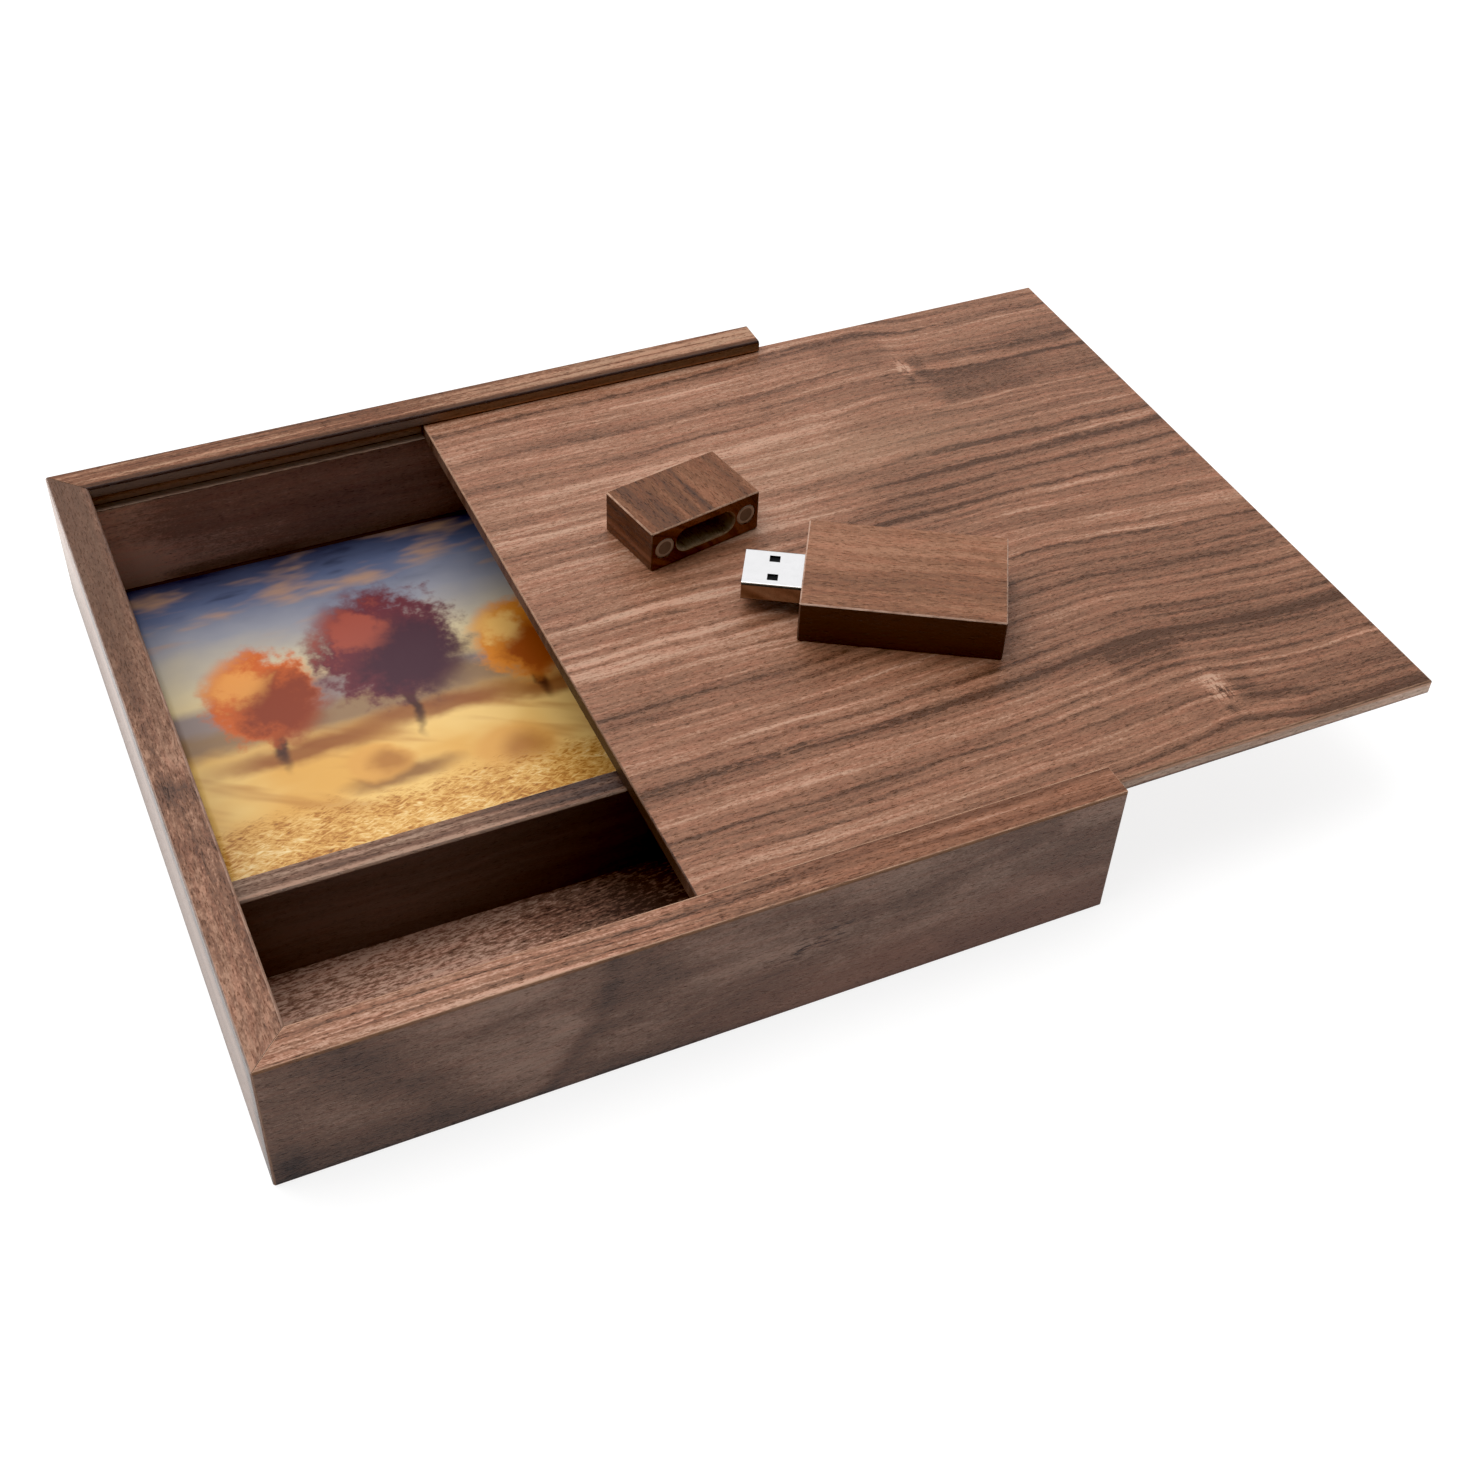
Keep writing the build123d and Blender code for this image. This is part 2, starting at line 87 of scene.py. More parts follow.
class Graph:
    def __init__(self, name):
        self.mat = bpy.data.materials.new(name)
        self.mat.use_nodes = True
        self.t = self.mat.node_tree
        self.t.nodes.clear()
        self.out = self.t.nodes.new("ShaderNodeOutputMaterial")
        self.bsdf = self.t.nodes.new("ShaderNodeBsdfPrincipled")
        self.t.links.new(self.bsdf.outputs[0], self.out.inputs[0])

    def put(self, sock, v):
        if isinstance(v, Sock):
            self.t.links.new(v.s, sock)
        elif v is not None:
            sock.default_value = v

    def m(self, op, a, b=None, c=None, clamp=False):
        n = self.t.nodes.new("ShaderNodeMath")
        n.operation = op
        n.use_clamp = clamp
        self.put(n.inputs[0], a)
        if b is not None:
            self.put(n.inputs[1], b)
        if c is not None:
            self.put(n.inputs[2], c)
        return Sock(self, n.outputs[0])

    def coords(self, origin, u, v, w):
        """Object coordinates in millimetres along three unit directions, from an origin in millimetres."""
        tc = self.t.nodes.new("ShaderNodeTexCoord")
        out = []
        for d in (u, v, w):
            dot = self.t.nodes.new("ShaderNodeVectorMath")
            dot.operation = "DOT_PRODUCT"
            self.t.links.new(tc.outputs["Object"], dot.inputs[0])
            dot.inputs[1].default_value = tuple(x * 1000.0 for x in d)
            off = -sum(a * b for a, b in zip(origin, d))
            out.append(Sock(self, dot.outputs["Value"]) + off)
        return out

    def vec(self, x, y, z=0.0):
        n = self.t.nodes.new("ShaderNodeCombineXYZ")
        for i, v in enumerate((x, y, z)):
            self.put(n.inputs[i], v)
        return Sock(self, n.outputs[0])

    def noise(self, x, y, z=0.0, detail=2.0, rough=0.5, distort=0.0, seed=0.0):
        """Noise from 0 to 1 at a point already in the noise's own scale."""
        n = self.t.nodes.new("ShaderNodeTexNoise")
        n.noise_dimensions = "4D" if seed else "3D"
        if seed:
            n.inputs["W"].default_value = seed
        n.inputs["Scale"].default_value = 1.0
        n.inputs["Detail"].default_value = detail
        n.inputs["Roughness"].default_value = rough
        n.inputs["Distortion"].default_value = distort
        self.t.links.new(self.vec(x, y, z).s, n.inputs["Vector"])
        return Sock(self, n.outputs[0])

    def step(self, x, lo, hi, a=0.0, b=1.0, soft=True):
        """a below lo, b above hi, smooth between."""
        n = self.t.nodes.new("ShaderNodeMapRange")
        n.interpolation_type = "SMOOTHSTEP" if soft else "LINEAR"
        n.clamp = True
        self.put(n.inputs[0], x)
        for i, v in zip((1, 2, 3, 4), (lo, hi, a, b)):
            self.put(n.inputs[i], v)
        return Sock(self, n.outputs[0])

    def bell(self, x, at, width):
        """1 at x = at, falling off to each side."""
        t = self.m("MULTIPLY_ADD", x, 1.0 / width, -at / width) if not isinstance(at, Sock) else (x - at) * (1.0 / width)
        return self.m("POWER", 0.36788, t * t)

    def mix(self, f, a, b, kind="MIX"):
        n = self.t.nodes.new("ShaderNodeMix")
        n.data_type = "RGBA"
        n.blend_type = kind
        n.clamp_factor = True
        self.put(n.inputs[0], f)
        self.put(n.inputs[6], a)
        self.put(n.inputs[7], b)
        return Sock(self, n.outputs[2])

    def ramp(self, f, stops, kind="LINEAR"):
        n = self.t.nodes.new("ShaderNodeValToRGB")
        n.color_ramp.interpolation = kind
        e = n.color_ramp.elements
        e[0].position, e[0].color = stops[0]
        e[1].position, e[1].color = stops[-1]
        for p, c in stops[1:-1]:
            x = e.new(p)
            x.color = c
        self.put(n.inputs[0], f)
        return Sock(self, n.outputs[0])

    def attr(self, name):
        n = self.t.nodes.new("ShaderNodeAttribute")
        n.attribute_name = name
        return Sock(self, n.outputs["Fac"])

    def bump(self, height, distance, strength=1.0):
        n = self.t.nodes.new("ShaderNodeBump")
        n.inputs["Distance"].default_value = distance
        n.inputs["Strength"].default_value = strength
        self.put(n.inputs["Height"], height)
        self.t.links.new(n.outputs[0], self.bsdf.inputs["Normal"])

    def set(self, **kw):
        for k, v in kw.items():
            self.put(self.bsdf.inputs[k.replace("_", " ")], v)


# ---------------------------------------------------------------- walnut
def walnut(name, origin, u, v, w, light, mid, dark, seed, pith=(30.0, -45.0), lean=0.0, warp=None,
           lines=((5.0, 0.35), (2.0, 0.35), (0.9, 0.30)), bend=1.0, ragged=0.5, dash=0.40, speck=0.30, grit=0.24, pores=1.0,
           tears=0.0, base=0.0, drift=0.30, rough=0.5, figure=None, keep=1.0, arris=None, end=0.62, spec=0.20, coat=0.0):
    """Oiled walnut. base makes the whole board darker. u is along the grain, v across the board's face, w through its thickness; origin in mm.
    Growth rings are circles about a pith line off to one side, bent by slow noise. lines gives each set of ring
    lines as (spacing in mm, strength). dash and speck are the short marks between them, pores the open vessels,
    tears the marks of a rough-sawn face. figure(g, U, V, W) returns (extra darkness, colour to mix in, amount)."""
    g = Graph(name)
    U, V, W = g.coords(origin, u, v, w)
    slow = g.noise(U * 0.011, V * 0.022, W * 0.022, 2.0, 0.5, seed=seed)
    wav = g.noise(U * 0.045, V * 0.09, W * 0.09, 2.0, 0.55, seed=seed + 3.1)
    jit = g.noise(U * 0.55, V * 0.8, W * 0.8, 2.0, 0.6, seed=seed + 5.7)
    dv = V - pith[0]
    dw = W - pith[1]
    r = g.m("SQRT", dv * dv + dw * dw)
    s = r + U * lean + (slow - 0.5) * (9.0 * bend) + (wav - 0.5) * (3.2 * bend) + (jit - 0.5) * (1.6 * ragged)
    if warp:
        s = s + warp(g, U, V, W)
    dk = None
    for n, (gap, strength) in enumerate(lines):
        one = g.noise(s * (0.62 / gap), U * (0.010 / gap + 0.003), seed * 1.7 + 9.0 * n, 2.0, 0.62)
        one = g.step(one, 0.44, 0.66) * strength - g.step(one, 0.46, 0.30) * (strength * 0.35)
        dk = one if dk is None else dk + one
    dk = dk * keep
    tint_extra = None
    if figure:
        add, col, amount = figure(g, U, V, W)
        if add is not None:
            dk = dk + add
        if col is not None:
            tint_extra = (col, amount)
    # short marks along the grain, then the open pores: dark dashes
    dn = g.noise(U * 0.42, V * 1.9, W * 1.9, 2.0, 0.6, 0.35, seed=seed + 11.3)
    sn = g.noise(U * 1.25, V * 3.1, W * 3.1, 1.0, 0.6, seed=seed + 17.9)
    pn = g.noise(U * 0.55, V * 3.6, W * 3.6, 1.0, 0.5, seed=seed + 23.0)
    pore = g.step(pn + dk * 0.04, 0.60, 0.70)
    gn = g.noise(U * 1.9, V * 2.3, W * 2.3, 2.0, 0.7, seed=seed + 19.3)
    tone = dk + base + (dn - 0.5) * dash + (sn - 0.5) * speck + (gn - 0.5) * grit + pore * (0.26 * pores)
    height = (sn - 0.5) * 0.5 - pore * 1.0 + (dn - 0.5) * 0.4 - dk * 0.10
    if tears:
        tn = g.noise(U * 0.34 + V * 0.16, V * 1.25 - U * 0.06, W * 1.25, 3.0, 0.65, 0.7, seed=seed + 29.0)
        torn = g.step(tn, 0.50, 0.68)
        tone = tone + torn * (0.36 * tears) - g.step(tn, 0.49, 0.36) * (0.34 * tears)
        height = height - torn * (0.8 * tears)
    big = g.noise(U * 0.018, V * 0.045, W * 0.045, 2.0, 0.5, seed=seed + 31.0)
    tone = tone + (big - 0.5) * drift
    col = g.ramp(tone, [(0.0, light), (0.34, mid), (1.0, dark)], "LINEAR")
    # a slow drift between a redder and a greyer brown, and a finer one from mark to mark
    hue = g.noise(U * 0.013, V * 0.03, W * 0.03, 2.0, 0.5, seed=seed + 37.0)
    hue2 = g.noise(U * 0.10, V * 0.8, W * 0.8, 2.0, 0.6, seed=seed + 39.0)
    col = g.mix(g.step(hue, 0.36, 0.66) * 0.45, col, g.mix(1.0, col, (0.97, 1.01, 1.02, 1), "MULTIPLY"))
    col = g.mix(g.step(hue2, 0.42, 0.64) * 0.8, col, g.mix(1.0, col, (1.07, 0.955, 0.93, 1), "MULTIPLY"))
    if tint_extra:
        col = g.mix(tint_extra[1], col, tint_extra[0])
    # cut ends soak up more oil where end is below 1; eased edges take the arris colour, a painted highlight together
    # with wear from handling, and on some boards a painted shadow line
    e = g.attr("cut_end")
    col = g.mix(e, col, g.mix(1.0, col, (end, end * 0.95, end * 0.9, 1), "MULTIPLY"))
    if arris:
        rub_and_highlight = g.noise(U * 0.22, V * 0.5, W * 0.5, 3.0, 0.6, seed=seed + 41.0)
        tip = arris(g, U, V, W) if callable(arris) else arris
        col = g.mix(g.attr("arris") * g.step(rub_and_highlight, 0.30, 0.62, 0.35, 1.0), col, tip)
    g.set(Base_Color=col)
    g.put(g.bsdf.inputs["Roughness"], g.m("ADD", rough, (sn - 0.5) * 0.12 + pore * 0.12 + (slow - 0.5) * 0.10))
    g.set(Specular_IOR_Level=spec)
    if coat:
        g.set(Coat_Weight=coat, Coat_Roughness=0.38)
    g.bump(height, 0.00010)
    return g.mat


def shade(colours, k, red=1.0):
    """The same three colours, k times as strong; red keeps the darker ones warm."""
    return {n: (c[0] * k * red, c[1] * k, c[2] * k, 1.0) for n, c in colours.items()}


X, Y, Z = (1, 0, 0), (0, 1, 0), (0, 0, 1)
BOX_X, BOX_Y, BOX_Z = 172.0, 177.0, 33.0
FL = (-86.0, -88.5, 0.0)          # the box's front left lower corner, in mm
LIT = 1.72                        # how strongly the studio lights a level surface
SHINE = 0.030                     # what the surface's own gloss adds to it


def worn(r, g, b, lit=LIT, shine=SHINE):
    """The surface colour that looks like this display colour once it is lit and its gloss is added."""
    c = [max((x - shine) / lit, 0.004) for x in lin(r, g, b)[:3]]
    c[1] = max(c[1], c[0] * 0.34)
    c[2] = max(c[2], c[1] * 0.28)
    return (c[0], c[1], c[2], 1.0)


def wood_colours(light, mid, dark, **kw):
    return dict(light=worn(*light, **kw), mid=worn(*mid, **kw), dark=worn(*dark, **kw))


FRONT = dict(lit=0.56, shine=0.022)   # the front face looks at the floor in front of it


def fig_front(g, U, V, W):
    """The front board's face: a plum-grey band falling to the right, a pale arch beside it, redder wood to the right."""
    n = g.noise(U * 0.06, V * 0.10, W * 0.05, 2.0, 0.5, seed=3.3)
    x = U + (n - 0.5) * 10.0
    plum = g.bell(x, 13.0 + (33.0 - V) * 0.75, 7.5) * 0.8 + g.bell(U, 4.0, 4.0) * g.step(V, 22.0, 4.0) * 0.7
    arch = x + (V - 33.0) * (V - 33.0) * 0.014
    pale = g.step(x, 26.0, 44.0) * g.step(arch, 59.0, 67.0, 1.0, 0.0)
    rim = g.bell(arch, 65.5, 2.6)
    fl = g.noise(U * 0.28, V * 1.3, W, 3.0, 0.6, 0.4, seed=5.0)
    torn = g.bell(U, 105.0, 11.0) * g.bell(V + (U - 105.0) * -0.20, 18.5, 3.2) * g.step(fl, 0.50, 0.62)
    low = g.step(V + (n - 0.5) * 14.0, 19.0, 3.0) * g.step(U, 60.0, 125.0)
    low = low + g.bell(U, 152.0, 14.0) * g.bell(V, 15.0, 3.0) * 0.5
    cloud = g.noise(U * 0.040, V * 0.10, W * 0.05, 3.0, 0.55, 0.4, seed=12.3)
    # foot's first two terms paint shade along the bottom edge, where the board meets the floor; its last term darkens
    # the lower part of the face
    foot = g.step(V, 2.6, 0.2) * 0.30 + g.step(V, 0.9, 0.3) * 0.5 + g.step(V + (n - 0.5) * 6.0, 19.0, 3.0) * (g.step(U, 20.0, 70.0) * 0.16 + 0.10)
    corner = g.step(V + U * 0.35, 22.0, 4.0)
    return plum * 0.36 - pale * 0.17 + rim * 0.20 + torn * 0.70 + foot + corner * 0.22 + 0.20 + (g.step(cloud, 0.30, 0.70) - 0.5) * g.step(U, 20.0, 60.0, 0.18, 0.36), worn(110, 77, 66, **FRONT), low * 0.36


def fig_left(g, U, V, W):
    """The closed end's board: two dark rings cross it, and its far half is plainer and darker."""
    b = g.bell(U + (g.noise(U * 0.1, V * 0.25, W * 0.1, 2.0, seed=2.0) - 0.5) * 6.0, 69.0, 4.6)
    c = g.bell(U + (g.noise(U * 0.1, V * 0.25, W * 0.1, 2.0, seed=4.0) - 0.5) * 7.0, 55.0, 3.6)
    far = g.step(U, 66.0, 135.0)
    inner = g.step(V, 5.6, 7.2) * g.step(U, 95.0, 112.0) * 0.14
    near = g.step(V, 4.2, 5.4) * g.step(U, 72.0, 60.0) * 0.15 + g.bell(U, 89.0, 10.0) * g.step(V, 1.2, 3.0) * 0.20 - g.step(V, 1.8, 0.6) * g.step(U, 32.0, 20.0) * 0.30
    return b * 0.55 + c * 0.20 + g.step(U, 24.0, 4.0) * 0.10 + far * 0.17 + inner + near, worn(100, 73, 58), far * (0.82 - inner * 2.0)


def fig_end_face(g, U, V, W):
    """The closed end's outer face: a painted pale sheen, the bright floor's reflection seen at a grazing angle, over
    most of it, streaks along it, browner along its top edge.
    """
    n = g.noise(U * 0.12, V * 0.5, 0.0, 3.0, 0.6, seed=7.7)
    streak = g.noise(U * 0.016, V * 0.55, 0.0, 3.0, 0.66, seed=8.7)
    fleck = g.noise(U * 0.30, V * 1.6, 0.0, 2.0, 0.6, seed=9.7)
    # pale and dull are the colours of the painted sheen; amount is where it lies
    pale = g.mix(g.step(U, 135.0, 174.0), worn(172, 144, 128), worn(200, 181, 169))
    dull = g.mix(g.step(U, 135.0, 174.0), worn(134, 104, 88), worn(170, 146, 130))
    amount = g.step(V + (n - 0.5) * 5.0, 27.5, 23.0) * g.step(U, 2.0, 12.0) * g.step(V, 0.0, 3.4, 0.60, 0.84)
    top = g.step(V + (n - 0.5) * 3.0, 27.0, 30.2) * g.step(U, 162.0, 120.0) * g.step(U, 2.0, 30.0, 0.5, 1.0)
    grain = g.step(streak, 0.44, 0.66) * 0.75 + (fleck - 0.5) * 0.5
    return g.step(U, 9.0, 0.5) * 0.9 + g.step(V, 3.0, 0.0) * 0.50 + top * 1.20, g.mix(grain, pale, dull), amount


def fig_front_top(g, U, V, W):
    """The front board's top: long ring lines that fall a little to the right, darker and redder to the right."""
    wav = g.noise(U * 0.020, V * 0.08, 0.0, 2.0, 0.5, seed=1.9)
    jag = g.noise(U * 0.35, V * 0.8, 0.0, 3.0, 0.62, seed=2.9)
    f = V + U * 0.036 + (wav - 0.5) * 2.0 + (jag - 0.5) * 0.7 + g.m("EXPONENT", U * -0.05) * 2.0
    fine = g.noise(f * 0.75, U * 0.006, 0.0, 3.0, 0.7, seed=3.9)
    finer = g.noise(f * 1.9, U * 0.012, 0.0, 2.0, 0.62, seed=4.9)
    keen = g.step(U, 150.0, 20.0, 0.55, 1.0)
    add = g.step(fine, 0.50, 0.66) * 0.46 - g.step(fine, 0.48, 0.34) * 0.34
    add = (add + g.step(finer, 0.50, 0.66) * 0.28 - g.step(finer, 0.48, 0.36) * 0.24) * keen
    drop = V - (U - 60.0) * 0.03 + (jag - 0.5) * 0.8
    add = add * 0.95 + g.bell(drop, 4.0, 0.9) * g.step(U, 35.0, 60.0) * 0.28 - g.bell(drop, 2.1, 0.8) * g.step(U, 85.0, 110.0) * 0.30
    add = add - g.bell(V, 0.6, 0.8) * g.bell(U, 50.0, 22.0) * 0.36 + g.step(V, 6.0, 7.4) * g.step(U, 70.0, 110.0) * 0.18
    return add + g.step(U, 50.0, 120.0) * 0.30 + g.bell(f, 7.6, 0.6) * 0.22, worn(152, 98, 74), g.step(U, 70.0, 140.0) * 0.40


def fig_back_top(g, U, V, W):
    """The back board's top: a dark left end, pale streaks towards the open end, and a painted shadow along its inner
    edge.
    """
    jag = g.noise(U * 0.25, V * 0.8, 0.0, 3.0, 0.62, seed=2.2)
    f = V - U * 0.022 + (jag - 0.5) * 0.8
    fine = g.noise(f * 0.9, U * 0.010, 0.0, 3.0, 0.7, seed=3.3)
    add = g.step(fine, 0.50, 0.66) * 0.50 - g.step(fine, 0.48, 0.34) * 0.45
    shadow = g.step(V + (jag - 0.5) * 0.6, 2.3, 1.1)
    add = add * 0.8 - g.bell(V, 5.6, 1.0) * 0.20 - g.bell(V, 3.2, 1.2) * g.step(U, 80.0, 100.0) * 0.16 + g.step(V, 6.6, 7.6) * 0.14
    add = add + g.step(U, 104.0, 62.0) * g.step(U, 12.0, 24.0) * g.step(V, 2.4, 3.6) * 0.16 - 0.05
    edge = g.mix(g.step(V, 0.9, 0.4), worn(96, 67, 51), worn(62, 41, 32))
    return add * (1.0 - shadow * 0.6) + g.step(U, 34.0, 4.0) * 0.10 + g.bell(U, 75.0, 22.0) * 0.12 + shadow * 0.40, edge, shadow * 0.85


def fig_divider(g, U, V, W):
    """The divider's top: a few ring lines along it, and the lid's shadow painted on, darker to the right."""
    f = V + U * 0.010 + (g.noise(U * 0.05, V * 0.3, 0.0, 2.0, 0.5, seed=2.7) - 0.5) * 1.6 + (g.noise(U * 0.5, V * 0.9, 0.0, 3.0, 0.65, seed=3.7) - 0.5) * 1.0
    gap = g.noise(U * 0.12, V * 0.8, 0.0, 2.0, 0.6, seed=4.7)
    add = g.bell(f, 2.4, 0.60) * 0.40 + g.bell(f, 3.5, 0.34) * 0.22 + g.bell(f, 5.0, 0.34) * 0.26
    add = (add - g.bell(f, 4.2, 0.34) * 0.18) * g.step(gap, 0.34, 0.60, 0.3, 1.1) - g.bell(V, 0.8, 0.5) * 0.34
    return add + 0.15 + g.step(U, 44.0, 76.0) * 0.62 + g.step(V, 4.0, 5.2) * g.step(U, 40.0, 60.0) * 0.30, None, 0.0


def fig_floor(g, U, V, W):
    """The drive compartment's floor: fine slanting marks, with the lid's shadow painted on towards the right and
    painted shade along the back.
    """
    n = g.noise(U * 0.42 + V * 0.34, V * 1.9 - U * 0.20, 0.0, 3.0, 0.66, seed=6.1)
    under = g.step(U, 46.0, 74.0) * 0.45 + g.step(U, 68.0, 84.0) * 0.45 + g.step(V, 150.0, 160.0) * 1.2
    return g.step(n, 0.50, 0.62) * 0.38 - g.step(n, 0.49, 0.38) * 0.36 + under - 0.13, None, 0.0


LID_X, LID_Y = -1.0, -82.7         # the lid's left front corner at rest, in mm
# ring lines across the lid as (place, half width, strength), in mm from its front edge
RINGS_LEFT = [(158.2, 1.2, 0.85), (144.2, 1.2, 0.55), (134.3, 0.9, 0.40), (108.6, 1.5, 0.45), (92.4, 0.6, 0.35),
              (88.0, 0.8, 0.50), (83.7, 0.7, 0.48), (79.2, 0.6, 0.5), (73.5, 0.6, 0.5), (69.8, 0.6, 0.45),
              (64.2, 0.7, 0.62), (61.3, 0.5, 0.40), (53.7, 0.9, 0.70)]
RINGS_ALL = [(36.8, 0.7, 0.50), (31.7, 1.15, 1.0), (17.8, 0.6, 0.50), (14.0, 0.5, 0.35), (10.8, 0.5, 0.40),
             (6.6, 0.6, 0.50), (1.0, 0.7, 0.60)]
RINGS_RIGHT = [(163.3, 0.7, 0.5), (158.4, 1.3, 0.85), (144.9, 1.5, 0.60), (138.9, 0.9, 0.75), (113.4, 0.7, 0.35),
               (108.9, 1.1, 0.70), (103.2, 1.2, 0.75), (96.6, 0.7, 0.6), (92.8, 0.6, 0.4), (89.6, 1.2, 0.85),
               (86.4, 0.6, 0.45), (79.6, 0.6, 0.35), (68.0, 0.8, 0.90), (64.6, 0.5, 0.4), (60.5, 1.0, 0.55),
               (55.6, 1.6, 0.5), (48.0, 0.8, 0.35), (40.2, 0.7, 0.6), (24.0, 0.7, 0.4), (21.0, 0.8, 0.55)]


def fig_lid(g, U, V, W):
    """The lid's figure: rings nearly straight along the grain that climb to a low crest past the middle and fall
    away behind it, two small knots on the crest, and the plainer patches behind them."""
    low = g.step(V, 62.0, 38.0)
    high = g.step(V, 118.0, 140.0)
    sway = g.noise(V * 0.06, 3.0, 0.0, 2.0, 0.5, seed=5.1)
    crest = g.step(V, 60.0, 5.0, 116.8, 123.6, False) + (sway - 0.5) * 5.0
    d = U - crest
    soft = g.m("SQRT", d * d + 30.0)
    before = g.m("EXPONENT", (soft - d) * (-0.5 / 27.0))
    reach = g.step(V, 90.0, 135.0, 0.085, 0.30)
    after = g.m("EXPONENT", (soft + d) * 0.5 * reach * -1.0)
    lift = (low * 3.6 + high * 4.6 + 0.8) * before * after
    fall = g.m("MAXIMUM", d, 0.0) * (g.bell(V, 65.0, 20.0) * 0.085 + 0.022)
    f = V - lift + fall
    wav = g.noise(U * 0.030, V * 0.050, 0.0, 2.0, 0.5, seed=1.3)
    jit = g.noise(U * 0.10, V * 0.30, 0.0, 2.0, 0.55, seed=8.8)
    jag = g.noise(U * 0.55, V * 0.9, 0.0, 3.0, 0.66, seed=9.9)
    f = f + (wav - 0.5) * 3.4 + (jit - 0.5) * 1.5 + (jag - 0.5) * 0.85

    def group(rows):
        total = None
        for at, width, amount in rows:
            one = g.bell(f, at, width) * amount
            total = one if total is None else total + one
        return total

    left = g.step(U + (g.noise(V * 0.35, U * 0.02, 0.0, 1.0, seed=6.0) - 0.5) * 90.0, 62.0, 98.0, 1.0, 0.0)
    broken = g.noise(U * 0.030, f * 0.5, 0.0, 2.0, 0.55, seed=14.0)
    broken_fine = g.noise(U * 0.30, f * 1.0, 0.0, 3.0, 0.66, seed=15.0)
    dark = group(RINGS_LEFT) * left + group(RINGS_RIGHT) * (1.0 - left) + group(RINGS_ALL)
    dark = dark * (g.step(broken, 0.30, 0.62, 0.5, 1.15) * g.step(broken_fine, 0.32, 0.62, 0.35, 1.25))
    fine = g.noise(f * 0.36, U * 0.010, 0.0, 3.0, 0.62, seed=21.0)
    finer = g.noise(f * 1.05, U * 0.028, 0.0, 2.0, 0.62, seed=22.0)
    wide = g.noise(f * 0.085, U * 0.006, 0.0, 1.0, 0.5, seed=26.0)
    add = dark * 0.66 + g.step(fine, 0.46, 0.68) * 0.27 - g.step(fine, 0.50, 0.32) * 0.24
    add = add + g.step(finer, 0.46, 0.64) * 0.15 - g.step(finer, 0.48, 0.34) * 0.13 + (wide - 0.5) * 0.84
    add = add + g.bell(f, 31.0, 4.5) * 0.14 + g.step(f, 9.0, 3.0) * 0.12
    add = add - g.bell(V, 113.5, 3.5) * 0.16 * g.step(U, 110.0, 90.0)

    def window(a0, a1, b0, b1, soft, softer=2.0):
        return (g.step(U, a0, a0 + soft) * g.step(U, a1, a1 - softer)) * (g.step(V, b0, b0 + soft) * g.step(V, b1, b1 - soft))

    # the plain patches keep little of the rings
    cloud = g.noise(U * 0.10, V * 0.24, 0.0, 3.0, 0.55, seed=31.0)
    frayed = g.noise(U * 0.35, V * 0.9, 0.0, 3.0, 0.6, seed=32.0)
    Ue = U + (frayed - 0.5) * 5.0 + (cloud - 0.5) * 3.0
    Ve = V + (frayed - 0.5) * 3.0 + (cloud - 0.5) * 4.0
    plain = g.step(Ue, 118.6, 122.2) * (g.step(Ve, 124.8, 127.4) * g.step(Ve, 138.6, 135.8)) * g.step(Ue, 156.0, 136.0)
    add = add * (1.0 - plain * 0.75) + plain * ((cloud - 0.5) * 0.34 + 0.24)
    add = add + window(98.0, 119.0, 148.5, 163.0, 5.0, 3.0) * 0.18
    add = add + window(104.0, 124.0, 24.0, 34.5, 3.0, 5.0) * 0.26
    add = add + window(126.0, 150.0, 4.0, 13.0, 4.0, 12.0) * g.step(cloud, 0.42, 0.62) * 0.22 + g.step(V, 8.5, 4.5) * g.step(U, 128.0, 140.0) * 0.24
    # broad darker and paler bands, along the rings
    add = add + g.bell(V, 16.5, 4.5) * g.step(U, 122.0, 98.0) * 0.28 + g.bell(V, 4.5, 4.0) * g.step(U, 100.0, 84.0) * 0.20
    add = add - g.bell(V, 4.5, 4.5) * g.step(U, 98.0, 114.0) * 0.14 - g.bell(V, 72.0, 9.0) * g.step(U, 54.0, 28.0) * 0.33
    add = add + g.bell(V, 52.5, 4.5) * g.step(U, 70.0, 48.0) * 0.22 + g.step(V, 82.0, 94.0) * g.step(V, 134.0, 118.0) * g.bell(U, 100.0, 34.0) * 0.20
    add = add + g.bell(V, 125.0, 6.0) * g.step(U, 84.0, 100.0) * 0.16 + g.bell(V, 137.0, 5.0) * g.step(U, 85.0, 100.0) * 0.20
    add = add + g.bell(V, 149.0, 6.0) * g.bell(U, 42.0, 28.0) * 0.21 - g.step(V, 160.8, 162.4) * g.bell(U, 66.0, 22.0) * 0.24
    # painted shade along the lid's back edge, beside the back rail
    add = add + g.bell(V, 160.7, 3.5) * g.bell(U, 98.0, 26.0) * 0.24
